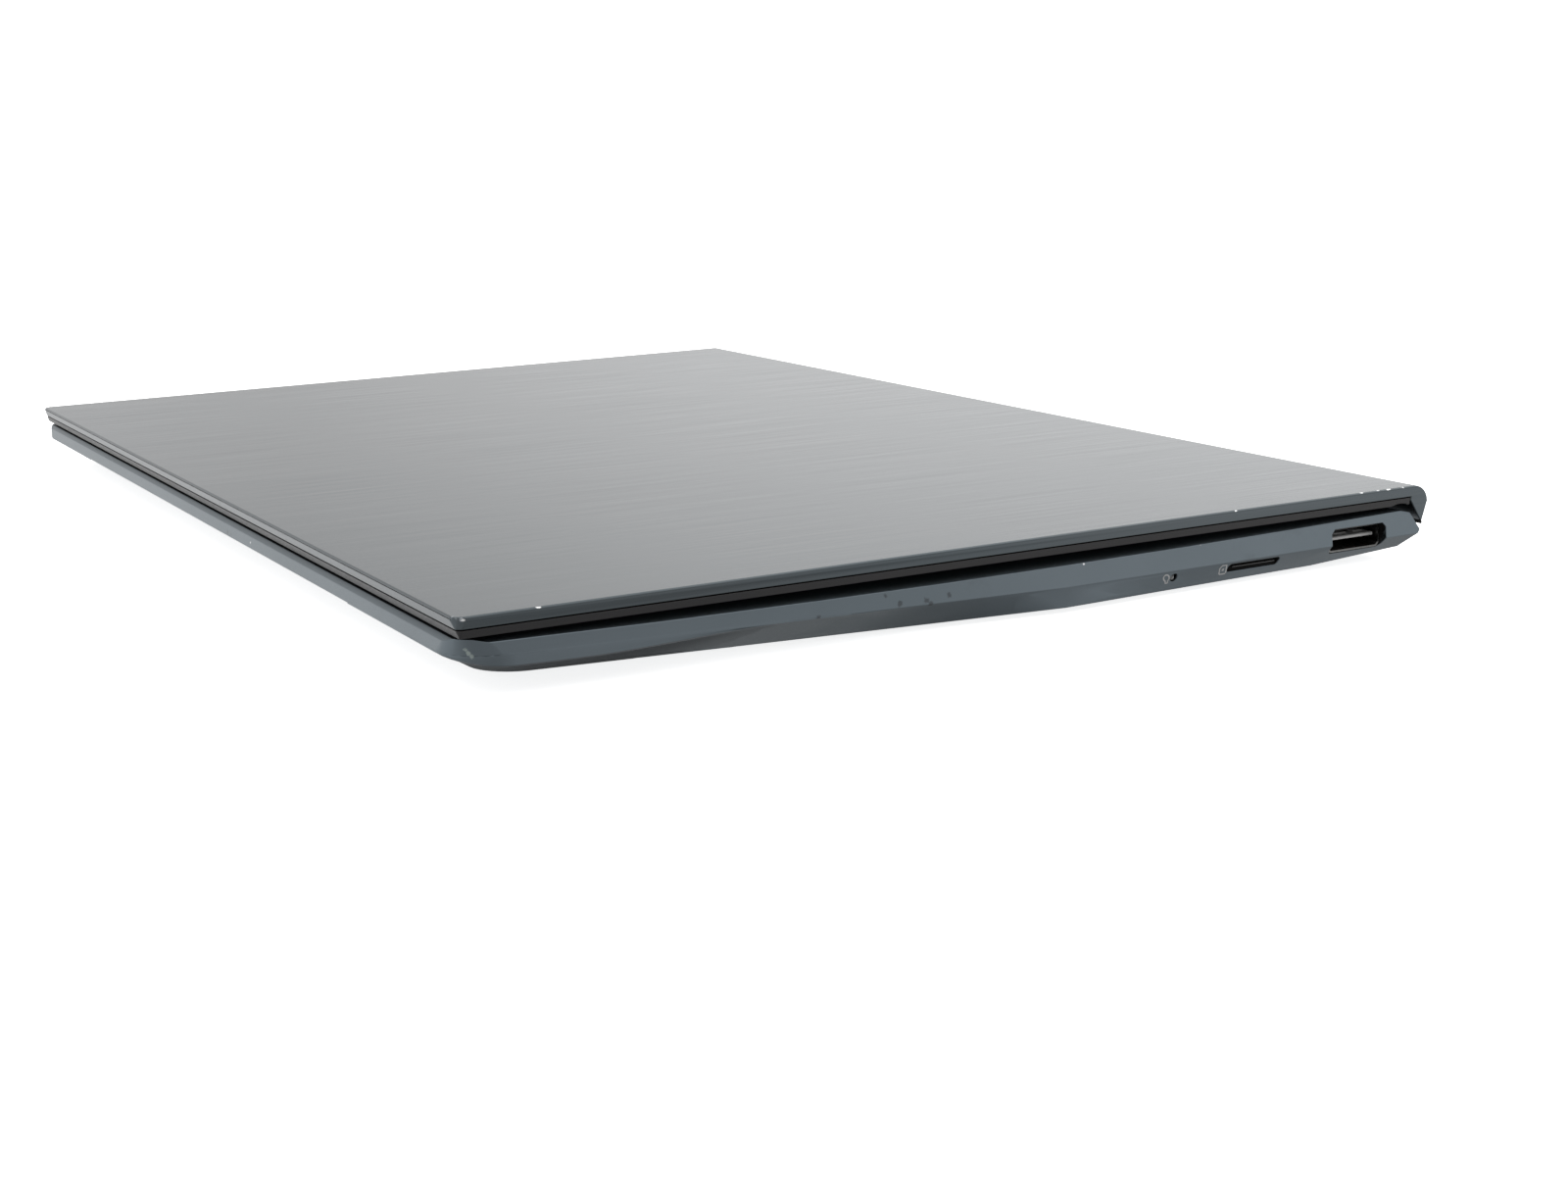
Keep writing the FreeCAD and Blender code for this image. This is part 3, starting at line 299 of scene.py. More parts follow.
def bright_metal(name, dark, light, rough, along=(600.0, 600.0, 600.0)):
    """Drawn or stamped bare metal with fine tool marks, long where the scale is small."""
    s = Shader(name)
    lines = s.noise(detail=4.0, rough=0.6, where=s.stretch(along))
    tarnish = s.noise(scale=60.0, detail=5.0, rough=0.65, seed=6.0)
    s.put(Base_Color=s.tones(tarnish, (0.32, dark), (0.68, light)), Metallic=1.0)
    s.put(Roughness=s.vary(lines, rough - 0.09, rough + 0.09))
    s.put(Normal=s.bump(lines, strength=0.15, depth=0.03))
    return s.material


def glass(name, tint, dusty, rough):
    """Dark glass over a screen or touchpad, with faint dust and wiping marks."""
    s = Shader(name)
    dust = s.span(s.noise(scale=900.0, detail=5.0, rough=0.7), 0.66, 0.8, 0.0, 0.25)
    wipe = s.noise(detail=4.0, rough=0.6, where=s.stretch((25.0, 130.0, 25.0), (0.0, 0.0, 0.5)))
    s.put(Base_Color=s.mix(dust, tint, dusty), IOR=1.5, Specular_IOR_Level=0.3)
    s.put(Coat_Weight=0.12, Coat_Roughness=0.08)
    s.put(Roughness=s.span(wipe, 0.35, 0.7, rough, rough + 0.12))
    s.put(Normal=s.bump(wipe, strength=0.02, depth=0.02))
    return s.material


def circuit_board():
    """Green-black solder mask over copper tracks."""
    s = Shader("circuit_board")
    tracks = s.cells(420.0, s.stretch((1.0, 0.35, 1.0)))
    cloud = s.noise(scale=90.0, detail=3.0)
    mask = s.between(cloud, (0.006, 0.022, 0.016), (0.012, 0.036, 0.024))
    s.put(Base_Color=s.mix(s.span(tracks, 0.03, 0.06, 0.6, 0.0), mask, (0.05, 0.10, 0.05)))
    s.put(Roughness=s.vary(cloud, 0.32, 0.45))
    s.put(Normal=s.bump(tracks, strength=0.2, depth=0.03))
    return s.material


def clear_plastic():
    """Milky light pipe."""
    s = Shader("clear_plastic")
    haze = s.noise(scale=1400.0, detail=3.0)
    s.put(Base_Color=s.between(haze, grey(0.30), (0.42, 0.42, 0.41)))
    s.put(Roughness=s.vary(haze, 0.2, 0.35), Transmission_Weight=0.35, IOR=1.49)
    return s.material


def hole_shade_black():
    """Dull black plastic deep inside a hole; its near-black tone is painted shade of the hole's depth."""
    s = Shader("hole_shade_black")
    grit = s.noise(scale=2600.0, detail=4.0, rough=0.6)
    s.put(Base_Color=s.between(grit, grey(0.003), grey(0.007)))
    s.put(Roughness=s.vary(grit, 0.6, 0.8), Specular_IOR_Level=0.08)
    return s.material


finishes = {
    "lid_metal": lid_metal(),
    "case_metal": case_metal(),
    "bezel_plastic": moulded(
        "bezel_plastic", (0.008, 0.008, 0.009), (0.012, 0.011, 0.012), 0.36, sheen=0.42),
    "screen_glass": glass("screen_glass", (0.006, 0.007, 0.009), grey(0.03), 0.12),
    "camera_black": moulded("camera_black", (0.008, 0.008, 0.009), (0.014, 0.014, 0.016), 0.35),
    "rubber_black": moulded("rubber_black", grey(0.010), grey(0.018), 0.75, 1500.0, 0.08),
    "copper": bright_metal(
        "copper", (0.52, 0.22, 0.11), (0.78, 0.38, 0.22), 0.34, (60.0, 1400.0, 1400.0)),
    "hinge_steel": bright_metal(
        "hinge_steel", (0.20, 0.20, 0.21), (0.32, 0.32, 0.33), 0.36, (1600.0, 80.0, 80.0)),
    "plate_metal": bright_metal(
        "plate_metal", (0.10, 0.10, 0.105), (0.15, 0.15, 0.155), 0.48, (900.0, 60.0, 900.0)),
    "screw_steel": bright_metal("screw_steel", (0.06, 0.06, 0.065), (0.11, 0.11, 0.115), 0.36),
    # Tone kept far below bare nickel: painted shade of the sockets' insides
    "connector_metal": bright_metal(
        "connector_metal", grey(0.10), (0.17, 0.17, 0.165), 0.32, (60.0, 1800.0, 1800.0)),
    "connector_plastic": moulded("connector_plastic", grey(0.40), (0.52, 0.52, 0.51), 0.42),
    "clear_plastic": clear_plastic(),
    "battery_black": moulded("battery_black", grey(0.012), grey(0.022), 0.6),
    "battery_grey": moulded("battery_grey", (0.22, 0.22, 0.23), (0.30, 0.30, 0.31), 0.42, 700.0),
    "circuit_board": circuit_board(),
    "chip_black": moulded("chip_black", (0.012, 0.012, 0.013), (0.020, 0.020, 0.021), 0.45, 4000.0),
    "fin_metal": bright_metal("fin_metal", grey(0.42), grey(0.58), 0.36, (400.0, 400.0, 60.0)),
    "touchpad_glass": glass("touchpad_glass", (0.075, 0.085, 0.093), (0.11, 0.12, 0.13), 0.38),
    "key_plastic": moulded("key_plastic", (0.022, 0.024, 0.026), (0.030, 0.032, 0.034), 0.5, 3200.0),
}
# Near-black finish for hole liners and microphone openings: painted shade inside the holes
hole_shade_finish = hole_shade_black()
legend_finish = moulded("legend_white", grey(0.55), (0.66, 0.66, 0.655), 0.6)
print_finish = moulded("print_grey", grey(0.38), (0.46, 0.46, 0.455), 0.6)


# Edges and shading of the CAD nodes

# Width of the rounded edges, for the nodes that show them
ROUNDING = {
    "lid_cover": 0.24, "top_case": 0.12, "screen_bezel": 0.14, "bottom_cover": 0.12,
    "touchpad": 0.15, "rear_foot": 0.35,
}
WELD_GAP = 0.002
FLAT_ANGLE = math.radians(0.4)
ROUND_ANGLE = math.radians(28.0)
SHARP_ANGLE = math.radians(32.0)


def sharpness():
    """Modifier tree that drops the imported normals and shades smooth below an edge angle."""
    tree = bpy.data.node_groups.new("edge_sharpness", "GeometryNodeTree")
    for way in ("INPUT", "OUTPUT"):
        tree.interface.new_socket("Geometry", in_out=way, socket_type="NodeSocketGeometry")
    start = tree.nodes.new("NodeGroupInput")
    shade = tree.nodes.new("GeometryNodeSetMeshNormal")
    end = tree.nodes.new("NodeGroupOutput")
    angle = tree.nodes.new("GeometryNodeInputMeshEdgeAngle")
    over = tree.nodes.new("FunctionNodeCompare")
    shade.mode = "SHARPNESS"
    shade.inputs["Remove Custom"].default_value = True
    over.operation = "GREATER_THAN"
    over.inputs[1].default_value = SHARP_ANGLE
    tree.links.new(start.outputs[0], shade.inputs["Mesh"])
    tree.links.new(angle.outputs["Unsigned Angle"], over.inputs[0])
    tree.links.new(over.outputs[0], shade.inputs["Edge Sharpness"])
    tree.links.new(shade.outputs[0], end.inputs[0])
    return tree


edge_tree = sharpness()


def soften(node, width=0.0):
    """Join the triangles of flat faces and round the sharp edges if asked, and shade smooth."""
    weld = node.modifiers.new("weld", "WELD")
    weld.merge_threshold = WELD_GAP * MM
    if width:
        flat = node.modifiers.new("flat", "DECIMATE")
        flat.decimate_type = "DISSOLVE"
        flat.angle_limit = FLAT_ANGLE
        edge = node.modifiers.new("round", "BEVEL")
        edge.width = width * MM
        edge.segments = 3
        edge.limit_method = "ANGLE"
        edge.angle_limit = ROUND_ANGLE
        edge.use_clamp_overlap = False
        edge.miter_outer = "MITER_SHARP"
    shade = node.modifiers.new("shade", "NODES")
    shade.node_group = edge_tree
    level = node.modifiers.new("level", "WEIGHTED_NORMAL")
    level.keep_sharp = True


for part in frame["record"]["subparts"]:
    node = nodes[part["node"]]
    node.data.materials.clear()
    node.data.materials.append(finishes[part["material_slot"]])
    soften(node, ROUNDING.get(part["node"], 0.0))


# Studio and camera

FLOOR_RADIUS_METRES = 14.0
FLOOR_DROP = 0.02
FLOOR_GLOW = 0.8
WHITE = (1.0, 1.0, 1.0, 1.0)
SKY_STRENGTH = 1.6
# Level directions from the part towards the lens and towards its front right corner
LENS_WAY = (0.88, -0.47, 0.0)
CORNER_WAY = (0.75, -0.66, 0.0)
# The fitted camera of the photograph: angles, place in metres, and lens for a 36 mm sensor
CAMERA_AZIMUTH = math.radians(61.965)
CAMERA_HEIGHT = math.radians(12.292)
CAMERA_ROLL = math.radians(-1.621)
CAMERA_PLACE = (0.50585, -0.23074, 0.09936)
SENSOR_WIDTH = 36.0
PHOTO_WIDTH_PIXELS = 1600.0
FOCAL_LENGTH_PIXELS = 2481.05
NEAR_CLIP_METRES = 0.01


def studio_floor():
    """Pale round floor, wide enough to reach the horizon."""
    mesh = bpy.data.meshes.new("studio_floor")
    form = bmesh.new()
    bmesh.ops.create_circle(form, cap_ends=True, segments=96, radius=FLOOR_RADIUS_METRES)
    form.to_mesh(mesh)
    form.free()
    floor = bpy.data.objects.new("studio_floor", mesh)
    bpy.context.scene.collection.objects.link(floor)
    s = Shader("studio_floor")
    cloud = s.noise(scale=3.0, detail=2.0)
    s.put(Base_Color=s.between(cloud, grey(0.90), grey(0.93)), Roughness=0.9)
    s.put(Specular_IOR_Level=0.1, Emission_Color=WHITE, Emission_Strength=FLOOR_GLOW)
    mesh.materials.append(s.material)
    floor.location.z = -FLOOR_DROP * MM
    floor.visible_glossy = False
    floor.visible_diffuse = False


def studio_light():
    """White surroundings: bright overhead and behind, dimmer by the lens, dark low at the rear left."""
    world = bpy.data.worlds.new("studio")
    bpy.context.scene.world = world
    world.use_nodes = True
    n = Nodes(world.node_tree)
    aim = n.node("ShaderNodeTexCoord").outputs["Generated"]
    split = n.node("ShaderNodeSeparateXYZ")
    n.feed(split.inputs[0], aim)
    height = split.outputs["Z"]
    around = n.tones(
        n.span(n.dot(aim, LENS_WAY), -1.0, 1.0, smooth=False),
        (0.0, grey(1.0)), (0.30, grey(0.84)), (0.65, grey(0.80)),
        (0.82, grey(0.58)), (1.0, grey(0.44)),
    )
    level = n.tones(
        n.span(height, -1.0, 1.0, smooth=False),
        (0.02, grey(0.22)), (0.35, grey(1.0)), (0.535, grey(1.0)),
        (0.62, grey(0.66)), (0.72, grey(0.70)), (0.88, grey(1.0)),
    )
    sweep = n.tones(
        n.span(split.outputs["Y"], -1.0, 1.0, smooth=False),
        (0.25, grey(0.88)), (0.55, grey(0.70)), (0.64, grey(0.66)),
        (0.72, grey(0.86)), (0.82, grey(1.0)),
    )
    clear = n.span(n.dot(aim, CORNER_WAY), -0.81, -0.67, 0.01, 1.0)
    shade = n.sum("MAXIMUM", n.span(height, -0.28, -0.02), clear)
    strength = n.sum("MULTIPLY", n.sum("MULTIPLY", level, shade), sweep)
    back = world.node_tree.nodes["Background"]
    n.feed(back.inputs["Color"], n.mix(n.span(height, 0.3, 0.8), around, grey(1.15)))
    n.feed(back.inputs["Strength"], n.sum("MULTIPLY", strength, SKY_STRENGTH))


def photo_camera():
    """Camera at the photograph's place: low, off the front right corner."""
    level = math.cos(CAMERA_HEIGHT)
    back = Vector((
        math.sin(CAMERA_AZIMUTH) * level,
        -math.cos(CAMERA_AZIMUTH) * level,
        math.sin(CAMERA_HEIGHT),
    ))
    right = Vector((0.0, 0.0, 1.0)).cross(back).normalized()
    up = back.cross(right)
    turned_right = math.cos(CAMERA_ROLL) * right + math.sin(CAMERA_ROLL) * up
    turned_up = math.cos(CAMERA_ROLL) * up - math.sin(CAMERA_ROLL) * right
    data = bpy.data.cameras.new("photo_camera")
    data.sensor_fit = "HORIZONTAL"
    data.sensor_width = SENSOR_WIDTH
    data.lens = SENSOR_WIDTH * FOCAL_LENGTH_PIXELS / PHOTO_WIDTH_PIXELS
    data.clip_start = NEAR_CLIP_METRES
    camera = bpy.data.objects.new("photo_camera", data)
    place = Matrix((turned_right, turned_up, back)).transposed().to_4x4()
    place.translation = CAMERA_PLACE
    camera.matrix_world = place
    bpy.context.scene.collection.objects.link(camera)
    bpy.context.scene.camera = camera


# Building new pieces

def skin(form, rings):
    """Quads between closed rings of points."""
    rows = [[form.verts.new(place) for place in ring] for ring in rings]
    for first, second in zip(rows, rows[1:]):
        for i in range(len(first)):
            j = (i + 1) % len(first)
            form.faces.new((first[i], first[j], second[j], second[i]))
    return rows


def solid(form, rings):
    """Closed body through rings of points, flat at both ends."""
    rows = skin(form, rings)
    form.faces.new(rows[-1])
    form.faces.new(rows[0])


def along_x(outline, places):
    """Rings of one (y, z) outline at places along X."""
    return [[point(x, y, z) for y, z in outline] for x in places]


def along_y(outline, places):
    """Rings of one (x, z) outline at places along Y."""
    return [[point(x, y, z) for x, z in outline] for y in places]


def plate(form, outline, low, high):
    """Flat plate of an outline of (x, y) points, between two heights."""
    solid(form, [[point(x, y, z) for x, y in outline] for z in (low, high)])


def turned(form, x, y, steps, sides):
    """Round body about an upright line, through (radius, height) steps."""
    turns = [2.0 * math.pi * i / sides for i in range(sides)]
    rings = []
    for radius, z in steps:
        rings.append([point(x + radius * math.cos(a), y + radius * math.sin(a), z) for a in turns])
    solid(form, rings)


def piece(name, form, slot, body, finish=None):
    """A new piece from a bmesh, in the finish of a slot or one of its own, riding on a body."""
    bmesh.ops.recalc_face_normals(form, faces=form.faces)
    mesh = bpy.data.meshes.new(name)
    form.to_mesh(mesh)
    form.free()
    made = bpy.data.objects.new(name, mesh)
    bpy.context.scene.collection.objects.link(made)
    mesh.materials.append(finish or finishes[slot])
    soften(made)
    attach(made, body)
    return made


def face_tree(node):
    """Search tree over the faces of a CAD node."""
    mesh = nodes[node].data
    return BVHTree.FromPolygons([v.co for v in mesh.vertices], [f.vertices for f in mesh.polygons])


case_tree = face_tree("top_case")
cover_tree = face_tree("bottom_cover")
OUTSIDE = 200.0
BELOW = -5.0


def case_side(side, y, z):
    """How far out the side wall of the base reaches at a place."""
    start = point(side * OUTSIDE, y, z)
    return abs(case_tree.ray_cast(start, Vector((-side, 0.0, 0.0)))[0].x) / MM


def under_height(x, y, past):
    """Height of the base's underside at a place, or another height past its edge."""
    start = point(x, y, BELOW)
    hits = [tree.ray_cast(start, Vector((0.0, 0.0, 1.0)))[0] for tree in (case_tree, cover_tree)]
    return min([hit.z / MM for hit in hits if hit], default=past)


# Connectors and their surroundings

# The liner fills the hole's edge, its bore clears the socket, and its lip steps inwards
LINER_OVERLAP = 0.26
LINER_CLEARANCE = 0.04
LINER_STEP = 0.06
LINER_BOTTOM = 0.2
BORE_CORNER_SHARE = 1.45
CORNER_STEPS = 3
# The side wall is probed just outside the hole's edge
PROBE_Y, PROBE_Z = 1.05, 1.10


def hole_outline(wide, high, corner, bend):
    """Rectangle whose corners are clipped straight (bend 0) or rounded (bend 1)."""
    points = []
    for sign_y, sign_z, reverse in ((1, 1, False), (-1, 1, True), (-1, -1, False), (1, -1, True)):
        row = []
        for step in range(CORNER_STEPS + 1):
            share = step / CORNER_STEPS
            angle = share * math.pi / 2.0
            straight = (1.0 - share, share)
            curved = (math.cos(angle), math.sin(angle))
            a, b = [corner * (s + bend * (c - s)) for s, c in zip(straight, curved)]
            row.append((sign_y * (wide / 2.0 - corner + a), sign_z * (high / 2.0 - corner + b)))
        points += row[::-1] if reverse else row
    return points


def shaded_port_liner(name, node, corner, lip, depth, closed=False):
    """Black moulded liner of a connector's hole, so dark that it is painted shade of the hole's inside:
    its front edge follows the side wall.
    """
    low, high = box(node)
    middle = centre(node)
    y, z = middle.y, middle.z
    wide, tall = high.y - low.y, high.z - low.z
    side = 1 if middle.x > 0.0 else -1
    bore_end = max(abs(low.x), abs(high.x)) - depth
    outer = hole_outline(wide + LINER_OVERLAP, tall + LINER_OVERLAP, corner, 0.0)
    inner = hole_outline(
        wide + LINER_CLEARANCE, tall + LINER_CLEARANCE, BORE_CORNER_SHARE * corner, 1.0)

    def front_ring(outline, sink):
        ring = []
        for (a, b), (c, d) in zip(outline, outer):
            wall = case_side(side, y + PROBE_Y * c, z + PROBE_Z * d)
            ring.append(point(side * (wall - sink), y + a, z + b))
        return ring

    def end_ring(outline, out):
        return [point(side * out, y + a, z + b) for a, b in outline]

    form = bmesh.new()
    back = bore_end - LINER_BOTTOM if closed else bore_end
    rings = [
        end_ring(outer, back),
        front_ring(outer, lip),
        front_ring(inner, lip + LINER_STEP),
        end_ring(inner, bore_end),
    ]
    if closed:
        solid(form, rings)
    else:
        skin(form, rings + rings[:1])
    # The liner takes the near-black hole finish: painted shade of the hole's inside
    piece(name, form, "camera_black", "base", hole_shade_finish)


def shaded_port_liners():
    """Liners of all five connector holes, near-black as painted shade inside them. The card slot's is
    closed, at its reader's mouth: a near-black cup painted as the shade of the slot.
    """
    shaded_port_liner("usb_shaded_liner", "usb_a_socket", corner=0.8, lip=0.30, depth=3.1)
    # The card slot's closed liner stands where there is only shade: painted shade of the slot
    shaded_port_liner("card_shaded_liner", "card_reader", corner=0.4, lip=0.12, depth=-0.02, closed=True)
    shaded_port_liner("video_shaded_liner", "hdmi_socket", corner=0.8, lip=0.25, depth=3.1)
    shaded_port_liner("type_c_shaded_liner_rear", "type_c_socket_rear", corner=1.3, lip=0.25, depth=3.1)
    shaded_port_liner("type_c_shaded_liner_front", "type_c_socket_front", corner=1.3, lip=0.25, depth=3.1)


# The tongue's underside lies this much lower than its CAD node's
TONGUE_DROP = 0.5
TONGUE_THICKNESS = 0.76
RIB_FOOT = 0.75
CONTACT_COUNT, CONTACT_FIRST, CONTACT_PITCH, CONTACT_WIDTH = 4, 1.9, 2.55, 0.9


def usb_tongue():
    """Grey contact tongue with a chamfered nose and two ribs."""
    low, high = box("usb_a_tongue")
    bottom = low.z - TONGUE_DROP
    top = bottom + TONGUE_THICKNESS
    foot = bottom + RIB_FOOT
    back, nose = low.x, high.x
    profile = [
        (back, bottom), (nose - 0.5, bottom), (nose, bottom + 0.18),
        (nose, top - 0.16), (nose - 0.2, top), (back, top),
    ]
    rib = [(back, foot), (nose - 1.8, foot), (nose - 2.0, foot + 0.25), (back, foot + 0.35)]
    form = bmesh.new()
    solid(form, along_y(profile, (low.y, high.y)))
    for ends in ((low.y + 2.2, low.y + 6.4), (low.y + 8.2, high.y - 0.8)):
        solid(form, along_y(rib, ends))
    made = piece("usb_tongue", form, "connector_plastic", "base")
    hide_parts("usb_a_tongue")


def usb_contacts():
    """Four sprung contacts under the tongue, bowed near its nose."""
    low, high = box("usb_a_tongue")
    bottom = low.z - TONGUE_DROP
    top, under, bow = bottom - 0.02, bottom - 0.06, bottom - 0.28
    back, nose = low.x + 0.6, high.x
    strip = [(back, top), (nose - 1.0, top), (nose - 2.2, bow), (nose - 3.6, under), (back, under)]
    form = bmesh.new()
    for number in range(CONTACT_COUNT):
        y = low.y + CONTACT_FIRST + number * CONTACT_PITCH
        solid(form, along_y(strip, (y, y + CONTACT_WIDTH)))
    piece("usb_contacts", form, "copper", "base")


def lamp_lens():
    """Milky light pipe with a domed end, just inside the side wall, which is probed beside it."""
    sides = 20
    sink = 0.25
    low, high = box("indicator_light_pipe")
    middle = centre("indicator_light_pipe")
    radius = (high.z - low.z) / 2.0
    tip = case_side(1, middle.y + 2.0 * radius, middle.z) - sink
    dome = ((0.5, 1.0), (0.3, 0.84), (0.1, 0.5), (0.0, 0.15))
    turns = [2.0 * math.pi * i / sides for i in range(sides)]
    rings = []
    for x, share in [(low.x, 1.0)] + [(tip - back, share) for back, share in dome]:
        r = share * radius
        rings.append([point(x, middle.y + r * math.cos(a), middle.z + r * math.sin(a)) for a in turns])
    form = bmesh.new()
    solid(form, rings)
    made = piece("lamp_lens", form, "clear_plastic", "base")
    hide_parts("indicator_light_pipe")


# Printed marks stand a little out of the side wall, and their tops lean towards the front
PRINT_RISE = 0.03
PRINT_SINK = 0.05
PRINT_LEAN = 0.34
CARD_MARK = (51.8, 3.7)
LAMP_MARK = (38.5, 3.6)


def stroke(form, mark, path, width, closed):
    """Thin raised line along a path of (y, z) points round a mark's middle, on the right side wall."""
    path = [(mark[0] + y - PRINT_LEAN * z, mark[1] + z) for y, z in path]
    count = len(path)
    rings = []
    for i, (y, z) in enumerate(path):
        before = path[i - 1] if i or closed else path[0]
        after = path[(i + 1) % count] if i + 1 < count or closed else path[-1]
        run = Vector((after[0] - before[0], after[1] - before[1])).normalized()
        off_y, off_z = -run.y * width / 2.0, run.x * width / 2.0
        ring = []
        for sign, lift in ((1, -PRINT_SINK), (1, PRINT_RISE), (-1, PRINT_RISE), (-1, -PRINT_SINK)):
            a, b = y + sign * off_y, z + sign * off_z
            ring.append(point(case_side(1, a, b) + lift, a, b))
        rings.append(ring)
    if closed:
        skin(form, rings + rings[:1])
    else:
        solid(form, rings)


def arc(y, z, radius, start, end, steps):
    """Points of an arc, between two angles in degrees."""
    turns = [math.radians(start + (end - start) * i / steps) for i in range(steps + 1)]
    return [(y + radius * math.cos(a), z + radius * math.sin(a)) for a in turns]


def side_prints():
    """Generic pictograms of a memory card and a lamp beside their holes."""
    form = bmesh.new()
    card = [
        (-0.8, -0.75), (-0.6, -0.95), (0.6, -0.95), (0.8, -0.75), (0.8, 0.95), (-0.2, 0.95), (-0.8, 0.45),
    ]
    stroke(form, CARD_MARK, card, 0.26, closed=True)
    stroke(form, CARD_MARK, arc(0.0, 0.0, 0.14, 0.0, 315.0, 7), 0.28, closed=True)
    stroke(form, LAMP_MARK, arc(0.0, 0.25, 0.66, -55.0, 235.0, 14), 0.25, closed=False)
    socket = [(-0.3, -0.3), (-0.25, -0.85), (0.25, -0.85), (0.3, -0.3)]
    stroke(form, LAMP_MARK, socket, 0.25, closed=False)
    piece("side_prints", form, "connector_plastic", "base", print_finish)


def card_spring():
    """Bright edge of the memory card slot's sprung cover, across the hole."""
    low, high = box("card_reader")
    x, z = high.x, centre("card_reader").z
    edge = [(x + 0.05, z - 0.11), (x + 0.30, z - 0.07), (x + 0.32, z + 0.03), (x + 0.05, z + 0.07)]
    form = bmesh.new()
    solid(form, along_y(edge, (low.y + 1.5, high.y - 0.5)))
    piece("card_spring", form, "connector_metal", "base")


def lip_seals():
    """Rubber beads under the outer ends of the lid's rear lip, beside its rubber strips."""
    low, high = box("lid_cover")
    rear, lip = high.y, low.z
    start = box("lid_feet")[1].x + 0.6
    end = box("top_case")[1].x - 0.8
    bead = [
        (rear - 1.14, lip + 0.02), (rear - 1.24, lip - 0.35), (rear - 1.06, lip - 0.57),
        (rear - 0.90, lip - 0.62), (rear - 0.77, lip - 0.50), (rear - 0.76, lip - 0.25),
        (rear - 0.80, lip + 0.02),
    ]
    form = bmesh.new()
    for ends in ((start, end), (-end, -start)):
        solid(form, along_x(bead, ends))
    piece("lip_seals", form, "rubber_black", "lid")


# Keyboard legends

KEY_PITCH = 18.0
KEY_GAP = 2.4
LEGEND_RISE = 0.024
ARROW_REACH = 1.5
# Sizes of the lettering: words, single letters, and pairs of signs
WORD, LETTER, PAIR = 2.5, 4.0, 3.0


def key_row(node, texts, size, width=1):
    """Keys of one node and one width, as (width, node, legend, size)."""
    return [(width, node, text, size) for text in texts]


def signs(upper, lower):
    """Legends with one sign above another."""
    return [f"{up}\n{down}" for up, down in zip(upper, lower)]


KEY_ROWS = (
    key_row("function_keys", "esc F1 F2 F3 F4 F5 F6 F7 F8 F9 F10 F11 F12 del".split(), WORD),
    key_row("number_keys", signs("~!@#$%^&*()_+", "`1234567890-="), PAIR)
    + key_row("backspace_key", ["backspace"], WORD, 2),
    key_row("tab_key", ["tab"], WORD, 1.5)
    + key_row("top_letter_keys", "QWERTYUIOP", LETTER)
    + key_row("top_letter_keys", signs("{}", "[]"), PAIR)
    + key_row("top_letter_keys", signs("|", "\\"), PAIR, 1.5),
    key_row("caps_lock_key", ["caps lock"], WORD, 1.75)
    + key_row("middle_letter_keys", "ASDFGHJKL", LETTER)
    + key_row("middle_letter_keys", signs(":\"", ";'"), PAIR)
    + key_row("enter_key", ["enter"], WORD, 2.25),
    key_row("left_shift_key", ["shift"], WORD, 2.25)
    + key_row("lower_letter_keys", "ZXCVBNM", LETTER)
    + key_row("lower_letter_keys", signs("<>?", ",./"), PAIR)
    + key_row("right_shift_key", ["shift"], WORD, 2.75),
    key_row("modifier_keys", ["ctrl"], WORD, 1.25)
    + key_row("modifier_keys", ["fn", "meta"], WORD)
    + key_row("modifier_keys", ["alt"], WORD, 1.25)
    + key_row("space_key", [""], WORD, 5.5)
    + key_row("modifier_keys", ["alt", "ctrl"], WORD),
)
ARROW_KEYS = {
    "left_arrow_key": 180.0, "up_arrow_key": 90.0, "down_arrow_key": -90.0, "right_arrow_key": 0.0,
}


def lettering(form, text, size, x, y, low):
    """Add raised lettering, centred on a place and standing on a height."""
    data = bpy.data.curves.new("lettering", "FONT")
    data.body = text
    data.size = size * MM
    data.space_line = 0.95
    data.align_x = "CENTER"
    data.extrude = LEGEND_RISE / 2.0 * MM
    data.resolution_u = 3
    carrier = bpy.data.objects.new("lettering", data)
    bpy.context.scene.collection.objects.link(carrier)
    bpy.context.view_layer.update()
    mesh = carrier.to_mesh()
    heights = [v.co.y for v in mesh.vertices]
    middle = (min(heights) + max(heights)) / 2.0
    mesh.transform(Matrix.Translation((x * MM, y * MM - middle, (low + LEGEND_RISE / 2.0) * MM)))
    form.from_mesh(mesh)
    carrier.to_mesh_clear()
    bpy.data.objects.remove(carrier)
    bpy.data.curves.remove(data)


def power_legend(form, x, y, low):
    """Broken ring with a bar through its opening."""
    ring_outer, ring_inner = 1.5, 1.2
    bar_half, bar_low, bar_high = 0.15, 0.3, 1.8
    ring = arc(x, y, ring_outer, 125.0, 410.0, 19) + arc(x, y, ring_inner, 415.0, 130.0, 19)
    plate(form, ring, low, low + LEGEND_RISE)
    bar = [
        (x - bar_half, y + bar_low), (x + bar_half, y + bar_low),
        (x + bar_half, y + bar_high), (x - bar_half, y + bar_high),
    ]
    plate(form, bar, low, low + LEGEND_RISE)


